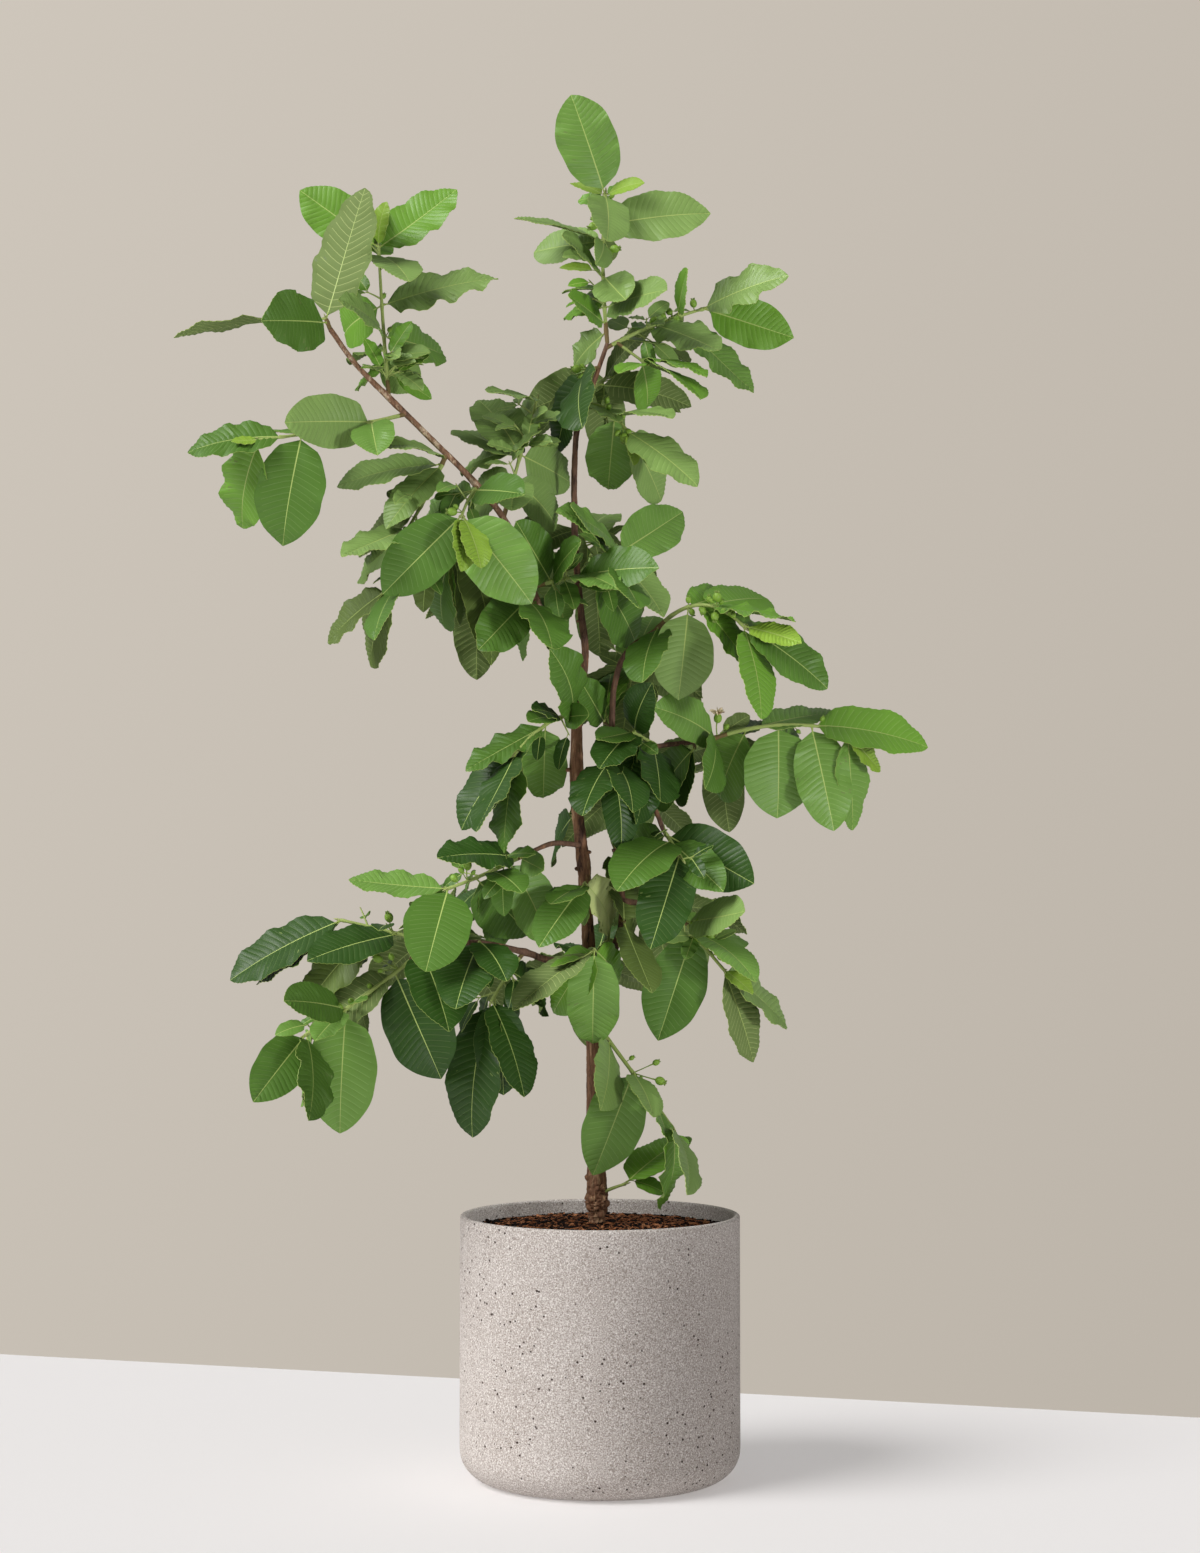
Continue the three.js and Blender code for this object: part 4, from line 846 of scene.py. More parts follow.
def bark_tube(name, relief):
    """A limb's skin with its relief: long low plates, cracks between them, rings and knots."""
    limb = LIMBS[name]
    trunk = name == "trunk"
    line = np.array([limb_point(name, s) for s in np.linspace(0, 1, 60)])
    length = np.linalg.norm(np.diff(line, axis=0), axis=1).sum()
    shares = np.linspace(0, 1, int(length / RING_STEP))
    line = np.array([limb_point(name, s) for s in shares])
    radius = limb_radius(limb, shares)
    if trunk:
        radius = radius - FLARE_WAIST["depth"] * np.exp(-((shares * length / FLARE_WAIST["reach"]) ** 2))
        worn = np.clip((shares - WORN_END["start"]) / WORN_END["reach"], 0, 1)
        radius = radius * np.sqrt(np.clip(1 - worn**2, WORN_END["least"], 1))
    else:
        radius = radius + COLLAR["height"] * np.exp(-((shares * length / COLLAR["reach"]) ** 2))
    sides = TRUNK_SIDES if trunk else BOUGH_SIDES
    depth = relief / MM * (1.0 if trunk else BOUGH_DEPTH)
    return tube(line, radius[:, None] + bark_relief(name, length, len(shares), sides, depth), sides)


# Pruned twigs: limb, share of it, hour as seen from the front, lean to the front, length and radius.
STUBS = [
    ("trunk", 0.165, 10.4, 0.2, 9, 3.6), ("trunk", 0.15, 1.6, 0.9, 4, 4), ("trunk", 0.135, 8.6, 1.2, 3, 4.4),
    ("trunk", 0.12, 3.4, 0.5, 4, 4.2), ("trunk", 0.045, 2.2, 1.8, 3, 4.4), ("trunk", 0.09, 9.2, 0.5, 3, 3.6),
    ("trunk", 0.7, 9.4, 0.4, 6, 2.2), ("trunk", 0.735, 2.6, 0.4, 5, 2), ("trunk", 0.9, 9, 0.4, 7, 2.2),
    ("left_bough", 0.46, 10.5, 0.4, 5, 1.8), ("left_bough", 0.62, 4.5, 0.4, 5, 1.6),
    ("leader", 0.33, 8.5, 0.4, 5, 1.6), ("leader", 0.5, 3.0, 0.4, 6, 1.6),
    ("right_stem", 0.42, 9.0, 0.4, 5, 1.7), ("right_stem", 0.58, 3.2, 0.4, 5, 1.7),
]
STUB_SHAPE = (1.5, 1.5, 1.45, 1.3, 1.12, 1.0, 1.06, 1.0, 0.5)  # from the collar to the cut, beside the radius
STUB_SIDES, STUB_JITTER = 12, 0.3
STUB_OUT = 0.6  # share of its length that stands clear of the bark


def add_stubs(pile, names, dice):
    """The stubs of pruned twigs on some limbs, each with a collar and a rough end."""
    for limb, share, hour, lean, length, radius in STUBS:
        if limb not in names:
            continue
        foot = limb_point(limb, share)
        course = hour_way(hour, lean)
        reach = limb_radius(LIMBS[limb], share) + length * STUB_OUT
        line = foot + np.outer(np.linspace(0, 1, len(STUB_SHAPE)) * reach, course)
        points, faces = tube(line, radius * np.array(STUB_SHAPE), STUB_SIDES)
        jitter = np.array([[dice(-STUB_JITTER, STUB_JITTER) for _ in range(3)] for _ in points])
        pile.add(points + jitter, faces, 0)


# ---- Pot and potting mix ----

POT_RADIUS, POT_HEIGHT, POT_WALL, POT_FLOOR = 150, 279, 7, 14
FOOT_ROUND, INNER_ROUND, LIP_ROUND = 32, 25, 3
FLAT, INNER_BEND = 60, 240  # where the flat of the foot and the floor, and the inner wall, have a ring more
POT_SIDES, WALL_RINGS, FOOT_RINGS, LIP_RINGS, INNER_RINGS, MIX_FOOT_RINGS = 144, 12, 12, 5, 6, 4
MIX_EDGE, MIX_CROWN, MIX_FLAT, GAP = 264, 270, 16, 0.3
MIX_RADIUS = POT_RADIUS - POT_WALL - GAP
MIX_SIDES, MIX_RINGS = 150, 46
MIX_BRINK, MIX_RIM = 3, 0.4  # the mix's wall ends this much lower and its rounded rim this much further in
CRUMBS = dict(size=9, height=1.6, sink=1.0, layers=(0.8, 2.2, 3), level=3.1)  # the mix's loose surface


def quarter(radius, level, size, start, end, steps):
    """Points on a quarter turn in the pot's half section."""
    return [(radius + size * math.cos(start + (end - start) * i / steps),
             level + size * math.sin(start + (end - start) * i / steps)) for i in range(steps + 1)]


def turned_mesh(section, sides, level_at=None):
    """A closed solid turned about the upright axis from a half section that starts and ends on it.

    Where the section has no level, level_at gives it.
    """
    def point(x, y, level):
        return x, y, level_at(x, y) if level is None else level

    inner = section[1:-1]
    angles = np.arange(sides) * TURN / sides
    points = [point(r * math.cos(a), r * math.sin(a), level) for r, level in inner for a in angles]
    first, last = len(points), len(points) + 1
    points += [point(0, 0, section[0][1]), point(0, 0, section[-1][1])]
    faces = []
    base = (len(inner) - 1) * sides
    for j in range(sides):
        k = (j + 1) % sides
        faces += [[i * sides + j, i * sides + k, (i + 1) * sides + k, (i + 1) * sides + j]
                  for i in range(len(inner) - 1)]
        faces += [[first, k, j], [last, base + j, base + k]]
    return points, faces


def pot_section():
    """The pot's half section: foot, wall, lip, inside and floor."""
    up = math.pi / 2
    inside, lip = POT_RADIUS - POT_WALL, POT_HEIGHT - LIP_ROUND
    wall = [(POT_RADIUS, FOOT_ROUND + (lip - FOOT_ROUND) * i / WALL_RINGS) for i in range(1, WALL_RINGS)]
    return [(0, 0), (FLAT, 0), *quarter(POT_RADIUS - FOOT_ROUND, FOOT_ROUND, FOOT_ROUND, -up, 0, FOOT_RINGS),
            *wall,
            *quarter(POT_RADIUS - LIP_ROUND, lip, LIP_ROUND, 0, up, LIP_RINGS),
            *quarter(inside + LIP_ROUND, lip, LIP_ROUND, up, 2 * up, LIP_RINGS), (inside, INNER_BEND),
            *quarter(inside - INNER_ROUND, POT_FLOOR + INNER_ROUND, INNER_ROUND, 0, -up, INNER_RINGS),
            (FLAT, POT_FLOOR), (0, POT_FLOOR)]


def mix_level(x, y):
    """The height of the potting mix with its crumbs, at a spot."""
    share = min(1, max(0, (math.hypot(x, y) - MIX_FLAT) / (MIX_RADIUS - MIX_FLAT)))
    level = MIX_CROWN + (MIX_EDGE - MIX_CROWN) * (1 - math.cos(share * math.pi)) / 2
    spot = Vector((x / CRUMBS["size"], y / CRUMBS["size"], CRUMBS["level"]))
    crumbs = noise.fractal(spot, *CRUMBS["layers"])
    return level - CRUMBS["sink"] + CRUMBS["height"] * crumbs


def mix_section():
    """The potting mix's half section, whose top takes its level from the crumbs."""
    bottom = POT_FLOOR + GAP
    top = [(MIX_RADIUS * k / MIX_RINGS, None) for k in range(MIX_RINGS - 1, 0, -1)]
    foot = quarter(MIX_RADIUS - INNER_ROUND, bottom + INNER_ROUND, INNER_ROUND, -math.pi / 2, 0,
                   MIX_FOOT_RINGS)
    brink = [(MIX_RADIUS, MIX_EDGE - MIX_BRINK), (MIX_RADIUS - MIX_RIM, None)]
    return [(0, bottom), *foot, *brink, *top, (0, None)]


CRUMB, CHIP, PALE_CHIP, FIBRE = range(4)
CHIP_CORNERS = np.array([[x, y, z] for x in (-1, 1) for y in (-1, 1) for z in (-1, 1)], float)
CHIP_FACES = [[0, 1, 3, 2], [4, 6, 7, 5], [0, 4, 5, 1], [2, 3, 7, 6], [0, 2, 6, 4], [1, 5, 7, 3]]
CHIP_TURN = (PALE_CHIP, CRUMB, CHIP, CRUMB, CRUMB, CHIP, CRUMB, CRUMB)  # the chips' looks, in turn
CHIP_SIZE = dict(span=(0.9, 2.5), breadth=(0.2, 0.6), height=(0.15, 0.4), uneven=0.35, lean=0.9)
LARGE_CHIP, LARGE_EVERY = 1.6, 6
CHIPS_TO, CHIPS_FROM, CHIP_LIFT = MIX_RADIUS * 0.985, 0.006, 0.3  # how far out and how high chips lie
WALL_NEAR, WALL_CHIP = 4, 0.3  # how near the wall they grow smaller, and how small
FIBRES_TO, FIBRE_ENDS_TO = MIX_RADIUS - 12, MIX_RADIUS - 2
FIBRE_SIZE = dict(steps=6, sides=4, length=(4, 13), curl=(-1.6, 1.6), radius=(0.22, 0.4), lift=0.9,
                  arch=0.8)


def add_chips(pile, count, dice):
    """Flat uneven chips of coir, strewn over the potting mix and smaller at the wall."""
    for k in range(count):
        away, angle = CHIPS_TO * math.sqrt(dice(CHIPS_FROM, 1)), dice(0, TURN)
        x, y = away * math.cos(angle), away * math.sin(angle)
        size = dice(*CHIP_SIZE["span"]) * (1 if k % LARGE_EVERY else LARGE_CHIP)
        breadth, height = size * dice(*CHIP_SIZE["breadth"]), size * dice(*CHIP_SIZE["height"])
        shape = CHIP_CORNERS * np.array([size, breadth, height])
        uneven = [[dice(-1, 1) for _ in range(3)] for _ in shape]
        shape = shape * (1 + CHIP_SIZE["uneven"] * np.array(uneven))
        axis = unit(np.array([dice(-1, 1) for _ in range(3)]))
        spin, lean = dice(0, TURN), CHIP_SIZE["lean"] * dice(-1, 1)
        shape = np.array([turned(turned(p, UP, spin), axis, lean) for p in shape])
        shape = shape * min(1, (MIX_RADIUS - away) / WALL_NEAR + WALL_CHIP)
        place = np.array([x, y, mix_level(x, y) + CHIP_LIFT])
        pile.add(shape + place, CHIP_FACES, CHIP_TURN[k % len(CHIP_TURN)])


def add_fibres(pile, count, dice):
    """Loose fibres that lie in curls on the potting mix."""
    steps = FIBRE_SIZE["steps"]
    for _ in range(count):
        away, angle = FIBRES_TO * math.sqrt(dice(0, 1)), dice(0, TURN)
        spot = np.array([away * math.cos(angle), away * math.sin(angle)])
        heading, length, curl = dice(0, TURN), dice(*FIBRE_SIZE["length"]), dice(*FIBRE_SIZE["curl"])
        line = []
        for s in np.linspace(0, 1, steps):
            way = heading + curl * s
            spot = spot + np.array([math.cos(way), math.sin(way)]) * length / steps
            spot = spot * min(1, FIBRE_ENDS_TO / max(1, np.hypot(*spot)))
            lift = FIBRE_SIZE["lift"] + FIBRE_SIZE["arch"] * math.sin(math.pi * s)
            line.append([*spot, mix_level(*spot) + lift])
        radii = np.full(steps, dice(*FIBRE_SIZE["radius"]))
        pile.add(*tube(line, radii, FIBRE_SIZE["sides"]), FIBRE)


# ---- The crown ----

# The masses whose leaves are joined in one piece.
FOLIAGE_PIECES = {
    "foliage_upper": ("top", "upper_right", "upper_left", "shoulder_right", "middle_right", "left_tip",
                      "left_spire", "left_low", "inner_left", "middle"),
    "foliage_middle": ("fork", "left_front", "left_side", "left_under", "right_tip", "stem_right",
                       "stem_front", "centre", "centre_right", "far_right"),
    "foliage_lower": ("right_fan", "right_low", "centre_low", "stem_low", "trunk_middle", "front",
                      "trunk_left", "middle_left", "trunk_sprig", "low_left_tip", "low_left_upper",
                      "low_left_inner", "low_left_hang", "low_right", "base_sprout"),
    "foliage_rear": tuple(row["name"] for row in REAR_MASSES),
}

# The tones of a spray's leaves, picked for each mass partly as painted light and shade, so that its colour as
# well as the lamps sets how bright it looks: the first for most of them, the second for the rest.
SPRAY_TONES = {
    "top": ("soft", "bright"), "upper_right": ("soft", "bright"), "upper_left": ("deep", "olive"),
    "shoulder_right": ("soft", "light"), "middle_right": ("light", "soft"), "middle": ("mature", "light"),
    "fork": ("light", "mature"), "left_tip": ("mature", "olive"), "left_spire": ("bright", "soft"),
    "left_low": ("light", "bright"), "left_front": ("mature", "light"), "left_side": ("soft", "olive"),
    "left_under": ("olive", "mature"), "inner_left": ("soft", "soft"), "right_tip": ("light", "bright"),
    "stem_right": ("bright", "mature"), "stem_front": ("deep", "deep"), "far_right": ("light", "bright"),
    "right_fan": ("deep", "deep"), "right_low": ("light", "soft"), "centre_low": ("mature", "deep"),
    "stem_low": ("olive", "light"), "trunk_middle": ("mature", "soft"), "front": ("bright", "light"),
    "trunk_left": ("mature", "deep"), "middle_left": ("mature", "light"), "trunk_sprig": ("deep", "deep"),
    "low_left_tip": ("mature", "light"), "low_left_inner": ("deep", "deep"), "low_right": ("light", "soft"),
    "base_sprout": ("light", "bright"), "rear_top": ("soft", "light"), "rear_upper_right": ("soft", "soft"),
    "rear_upper_left": ("soft", "light"), "rear_middle_right": ("light", "mature"),
    "rear_low": ("mature", "deep"), "rear_low_left": ("deep", "deep"),
}
OTHER_TONES = ("deep", "mature")  # of the sprays that have no row
SECOND_TONE = 0.34  # share of a spray's leaves that take its second tone
FAINT_VEINS = {"deep": 0.45, "mature": 0.6, "olive": 0.6}  # how much fainter the dark tones' side veins are
YOUNG_SHOOTS = 0.04  # share of the small leaves on side shoots that have just unfolded
# Leaves turned so that their pale undersides show: mass and number.
TURNED_LEAVES = {("left_tip", 1), ("front", 0), ("low_left_tip", 2), ("right_low", 5)}
# Leaves whose tone stands out from their spray's, partly as painted light and shade on single leaves: for
# each mass, the leaf's number and its tone.
OWN_TONES = {
    "left_tip": {0: "mature", 2: "olive"}, "left_low": {0: "soft", 2: "mature", 4: "mature", 5: "bright"},
    "left_spire": {5: "soft", 1: "soft", 3: "light"}, "left_front": {2: "mature", 3: "light"},
    "top": {9: "soft", 10: "light"}, "upper_right": {3: "light", 4: "bright", 5: "soft"},
    "right_tip": {0: "mature", 2: "soft", 8: "mature"}, "far_right": {1: "mature", 2: "light"},
    "trunk_left": {3: "light", 4: "mature", 5: "deep", 6: "mature", 7: "deep"}, "trunk_middle": {1: "pale"},
    "middle_left": {0: "deep"}, "front": {2: "bright", 3: "light"},
    "right_fan": {1: "mature", 2: "mature", 112: "mature"},
    "right_low": {0: "soft", 1: "light", 2: "mature", 3: "light", 4: "soft"},
    "low_left_upper": {0: "deep", 1: "olive", 2: "deep"}, "low_left_tip": {0: "deep", 1: "deep", 3: "light"},
    "low_left_hang": {0: "deep", 3: "deep"}, "low_right": {4: "bright"},
}

# Leaves that fill the crown between the others: mass, share of its stem, then hour, reach and breadth as
# seen from the front.
MORE_LEAVES = [
    ("trunk_left", 0.1, 11.5, 66, 32), ("fork", 0.9, 4.9, 58, 30), ("centre", 0.9, 0.6, 50, 34),
    ("middle_left", 0.5, 5.6, 80, 44), ("middle_left", 0.2, 5.15, 94, 46), ("left_side", 0.9, 8.0, 74, 30),
    ("inner_left", 0.55, 8.9, 70, 34), ("top", 0.12, 9.9, 42, 26), ("low_left_tip", 0.68, 9.5, 54, 32),
    ("stem_front", 0.97, 5.75, 100, 38), ("centre", 0.97, 5.8, 98, 40), ("stem_low", 0.95, 11.8, 76, 34),
    ("right_fan", 0.3, 7.6, 78, 46),
]
MORE_NUMBER = 100  # their numbers start here

_crown = []


def crown():
    """All masses, grown once, with the leaves between the others."""
    if not _crown:
        _crown.extend(grow(row) for row in MASSES + REAR_MASSES)
        named = {mass["name"]: mass for mass in _crown}
        for number, (name, share, *look) in enumerate(MORE_LEAVES, MORE_NUMBER):
            mass = named[name]
            leaf = front_leaf(mass["twigs"][0][0](share), look, False, 0, looks_dice(number, FOR_MORE))
            mass["leaves"].append(leaf | {"number": number})
    return _crown


def tone_of(mass, leaf, dice):
    """The place of a leaf's tone among the tones: its own, or one of its spray's two."""
    own = OWN_TONES.get(mass["name"], {}).get(leaf.get("number"))
    if leaf["young"] or own:
        return TONE_NAMES.index(own or "young")
    tones = SPRAY_TONES.get(mass["name"], OTHER_TONES)
    return TONE_NAMES.index(tones[1] if dice(0, 1) < SECOND_TONE else tones[0])


BLADE_SPOTS = [(share, side) for share in (0.2, 0.4, 0.6, 0.8) for side in (-0.35, 0, 0.35)] + [(1.0, 0)]
FIRST_SPOTS = 3  # the spots next to a leaf's foot, where it may come near its neighbours


def spots_of(leaf):
    """A few spots over a leaf's blade, to tell what comes near it."""
    across = np.cross(leaf["normal"], leaf["course"])
    spots = []
    for share, side in BLADE_SPOTS:
        middle = leaf["foot"] + leaf["course"] * leaf["length"] * share
        middle = middle + leaf["normal"] * 4 * leaf["bow"] * share * (1 - share)
        spots.append(middle + across * side * leaf["width"])
    return spots


BARE_STEMS = ("low_right", "far_right", "right_tip", "left_tip", "left_low")  # no side shoots on these
# How many flower buds on stalks a mass's stem bears.
BUD_STALKS = {
    "right_tip": 9, "far_right": 4, "upper_right": 6, "low_right": 3, "low_left_tip": 5, "left_side": 3,
    "shoulder_right": 4, "top": 3, "middle_left": 3, "right_low": 4, "left_spire": 3, "middle_right": 3,
}
SWOLLEN_BUDS = ("right_tip", "upper_right", "right_low", "middle_left", "low_left_tip")  # nearly fruits
SWOLLEN = 1.45

SHOOT = dict(places=(0.12, 0.95), ahead=(0.3, 0.9), up=(0, 0.4), reach=(9, 24), least=2)
# A shoot's leaves: share of the shoot, turn about it and size.
SHOOT_LEAVES = ((1, 0, 1), (1, math.pi, 1), (0.45, 1.3, 1.15))
SMALL = dict(out=(0.5, 1.0), ahead=(0.6, 1), down=(0, 0.5), length=(24, 44), twist=(-0.5, 0.5),
             slender=(0.38, 0.5), bow=(0, 0.08), fold=(0.15, 0.4))
FRONT_LIGHT = (-0.2, -0.7, 0.7)  # where the front masses' small leaves face
STRAY = 2  # how far a small leaf may pass the box of its mass


def small_leaf(shoot, course, light, row, dice):
    """A small leaf on a side shoot, its face turned to the light."""
    place, turn, growth = row
    side = turned(unit(np.cross(course, light)), course, turn)
    heading = unit(side * dice(*SMALL["out"]) + course * dice(*SMALL["ahead"]) - UP * dice(*SMALL["down"]))
    size = dice(*SMALL["length"]) * growth
    normal = facing(light, heading, dice(*SMALL["twist"]))
    return dict(foot=shoot(min(place, DEEPEST_FOOT)), course=heading, normal=normal, length=size,
                width=size * dice(*SMALL["slender"]), bow=size * dice(*SMALL["bow"]),
                fold=dice(*SMALL["fold"]), young=False)


def finer_twigs(sizes):
    """Short side shoots with small leaves, grown where there is room among the leaves of all masses."""
    tree = search_tree([spot for mass in crown() for leaf in mass["leaves"] for spot in spots_of(leaf)])
    room = sizes.shoot_room / MM
    shoots = []
    for number, mass in enumerate(crown()):
        if mass["name"] in BARE_STEMS:
            continue
        dice = looks_dice(number, FOR_SHOOTS)
        low, high = (np.array(corner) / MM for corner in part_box("leaves_" + mass["name"]))
        curve = mass["twigs"][0][0]
        ahead = unit(curve(1) - curve(0))
        length = np.linalg.norm(curve(1) - curve(0))
        light = np.array(PAIRS["light"] if "pairs" in mass["row"] else FRONT_LIGHT, float)
        for _ in range(max(SHOOT["least"], int(length / sizes.shoot_spacing * MM))):
            share = dice(*SHOOT["places"])
            out = turned(aside_of(ahead), ahead, dice(0, TURN))
            course = unit(out + ahead * dice(*SHOOT["ahead"]) + UP * dice(*SHOOT["up"]))
            shoot = twig_curve(curve(share), course * dice(*SHOOT["reach"]), 0, dice)
            leaves = []
            for row in SHOOT_LEAVES:
                leaf = small_leaf(shoot, course, light, row, dice)
                spots = spots_of(leaf)
                inside = all((spot > low - STRAY).all() and (spot < high + STRAY).all() for spot in spots)
                if inside and all(tree.find(Vector(spot))[2] > room for spot in spots[FIRST_SPOTS:]):
                    leaves.append(leaf)
            if leaves:
                shoots.append((mass, shoot, leaves))
    return shoots


# ---- Materials ----


def linear(red, green, blue):
    """A colour given in 0 to 255, as the shaders take it."""
    parts = [c / 255 for c in (red, green, blue)]
    return tuple(c / 12.92 if c <= 0.04045 else ((c + 0.055) / 1.055) ** 2.4 for c in parts)


class Nodes:
    """A node tree and a way to add nodes to it."""

    def __init__(self, tree):
        self.tree = tree

    def node(self, kind, **inputs):
        """A new node with its inputs fed by name."""
        made = self.tree.nodes.new(kind)
        for name, value in inputs.items():
            self.feed(value, made.inputs[name.replace("_", " ")])
        return made

    def feed(self, value, socket):
        """Links another node's output to a socket, or sets the socket."""
        if isinstance(value, bpy.types.NodeSocket):
            self.tree.links.new(value, socket)
        else:
            socket.default_value = value

    def mix(self, share, a, b, way="MIX"):
        """Two colours mixed by a share."""
        made = self.node("ShaderNodeMix")
        made.data_type = "RGBA"
        made.blend_type = way
        self.feed(share, made.inputs["Factor"])
        for socket, value in (("A", a), ("B", b)):
            spot = next(i for i in made.inputs if i.name == socket and i.type == "RGBA")
            self.feed(value if isinstance(value, bpy.types.NodeSocket) else (*value, 1), spot)
        return next(o for o in made.outputs if o.type == "RGBA")


class Finish(Nodes):
    """A material with its shader and what feeds it."""

    def __init__(self, name, colour, roughness, specular=0.5):
        self.material = bpy.data.materials.new(name)
        self.material.use_nodes = True
        super().__init__(self.material.node_tree)
        self.shader = self.tree.nodes["Principled BSDF"].inputs
        self.feed((*colour, 1), self.shader["Base Color"])
        self.feed(roughness, self.shader["Roughness"])
        self.feed(specular, self.shader["Specular IOR Level"])
        self.material.diffuse_color = (*colour, 1)

    def spot(self, stretch):
        """The place on the piece, stretched."""
        place = self.node("ShaderNodeTexCoord").outputs["Object"]
        return self.node("ShaderNodeMapping", Vector=place, Scale=stretch).outputs["Vector"]

    def noise(self, scale, detail=3, rough=0.5, stretch=(1, 1, 1)):
        """Smooth chance from place to place."""
        made = self.node("ShaderNodeTexNoise", Vector=self.spot(stretch), Scale=scale, Detail=detail,
                         Roughness=rough)
        return made.outputs["Fac"]

    def cells(self, scale):
        """The distance from the nearest of many scattered spots."""
        made = self.node("ShaderNodeTexVoronoi", Vector=self.spot((1, 1, 1)), Scale=scale)
        return made.outputs["Distance"]

    def ramp(self, value, *stops):
        """A run of colours or greys over a value: (place, colour) pairs."""
        made = self.node("ShaderNodeValToRGB", Fac=value)
        ramp = made.color_ramp
        while len(ramp.elements) < len(stops):
            ramp.elements.new(0.5)
        for element, (place, colour) in zip(ramp.elements, stops):
            element.position = place
            colour = (colour,) * 3 if isinstance(colour, (int, float)) else colour
            element.color = (*colour, 1)
        return made.outputs["Color"]

    def maths(self, way, a, b):
        """A sum, difference or product of two values."""
        made = self.node("ShaderNodeMath")
        made.operation = way
        for value, socket in zip((a, b), made.inputs):
            self.feed(value, socket)
        return made.outputs[0]

    def colour(self, value):
        self.feed(value, self.shader["Base Color"])

    def roughness(self, value, low, high):
        made = self.node("ShaderNodeMapRange", Value=value, To_Min=low, To_Max=high)
        self.feed(made.outputs["Result"], self.shader["Roughness"])

    def bump(self, height, depth):
        made = self.node("ShaderNodeBump", Height=height, Distance=depth, Strength=1.0)
        self.feed(made.outputs["Normal"], self.shader["Normal"])


# In the finishes, noises and cells are scaled by how many stand in a metre, and a ramp's stops are pairs of
# a place and a colour or a grey. The last number of a bump is its height.


def leaf_finish(name, colour, roughness, grain=0.00012, specular=0.3):
    """One plain colour, satin, with a fine pebbled grain."""
    made = Finish(name, colour, roughness, specular)
    made.bump(made.noise(900, 2), grain)
    made.roughness(made.noise(60, 2), roughness - 0.07, roughness + 0.09)
    return made.material


def bark_finish(name, dark, mid, light, grain):
    """Thin bark in long flaking patches."""
    made = Finish(name, mid, 0.8, 0.3)
    patches = made.noise(110, 5, 0.66, stretch=(1, 1, grain))
    streaks = made.noise(420, 4, 0.6, stretch=(1, 1, grain * 0.5))
    colour = made.ramp(patches, (0.36, dark), (0.43, mid), (0.52, mid), (0.61, light))
    made.colour(made.mix(0.6, colour, made.ramp(streaks, (0.36, 0.35), (0.62, 1.25)), "MULTIPLY"))
    made.roughness(patches, 0.65, 0.92)
    made.bump(made.maths("ADD", made.maths("MULTIPLY", patches, 0.5), streaks), 0.0006)
    return made.material


def pot_finish(looks):
    """Fibre concrete: warm grey with a sandy grain and a few small pits in loose clusters, their insides dark
    with painted shade.
    """
    made = Finish("fibre_concrete", looks.colour, 0.86, 0.25)
    speckle = made.noise(680, 3, 0.7)
    mottle = made.noise(14, 4, 0.55)
    base = made.mix(made.ramp(mottle, (0.35, 0.0), (0.68, 1.0)), looks.colour, looks.mottle)
    base = made.mix(made.ramp(speckle, (0.34, 1.0), (0.5, 0.0)), base, looks.dark_grain)
    base = made.mix(made.ramp(speckle, (0.5, 0.0), (0.66, 1.0)), base, looks.light_grain)
    cluster = made.ramp(made.noise(13, 2, 0.6), (looks.pit_clusters, 0.0), (looks.pit_clusters + 0.07, 1.0))
    pits = made.ramp(made.cells(130), (0.13, 1.0), (0.18, 0.0))
    pits = made.mix(1.0, pits, cluster, "MULTIPLY")
    few = made.ramp(made.cells(52), (0.04, 1.0), (0.06, 0.0))
    pits = made.mix(1.0, pits, few, "LIGHTEN")
    # the pits' insides are darkened with painted shade
    made.colour(made.mix(pits, base, looks.painted_pit_shade))
    made.bump(made.maths("SUBTRACT", made.maths("MULTIPLY", speckle, 0.25), pits), 0.0009)
    made.roughness(speckle, 0.8, 0.95)
    return made.material


def coir_finish(name, colour):
    """Dull damp coir with a dark and light grain."""
    made = Finish(name, colour, 0.95, 0.2)
    grain = made.noise(480, 4, 0.6)
    dark = tuple(c * 0.3 for c in colour)
    light = tuple(min(1, c * 1.7) for c in colour)
    made.colour(made.ramp(grain, (0.3, dark), (0.55, tuple(colour)), (0.75, light)))
    made.bump(grain, 0.0008)
    return made.material


# ---- What a user may change ----


def colour_property(name, description, *parts):
    return bpy.props.FloatVectorProperty(name=name, description=description, subtype="COLOR", size=3, min=0,
                                         max=1, default=linear(*parts))


def share_property(name, description, value):
    return bpy.props.FloatProperty(name=name, description=description, default=value, min=0, max=1,
                                   subtype="FACTOR")


def length_property(name, description, value):
    return bpy.props.FloatProperty(name=name, description=description, default=value, min=0, unit="LENGTH",
                                   subtype="DISTANCE", precision=5)


def power_property(name, description, value):
    return bpy.props.FloatProperty(name=name, description=description, default=value, min=0, unit="POWER",
                                   subtype="POWER")


def strength_property(name, description, value):
    return bpy.props.FloatProperty(name=name, description=description, default=value, min=0)


def count_property(name, description, value):
    return bpy.props.IntProperty(name=name, description=description, default=value, min=0)


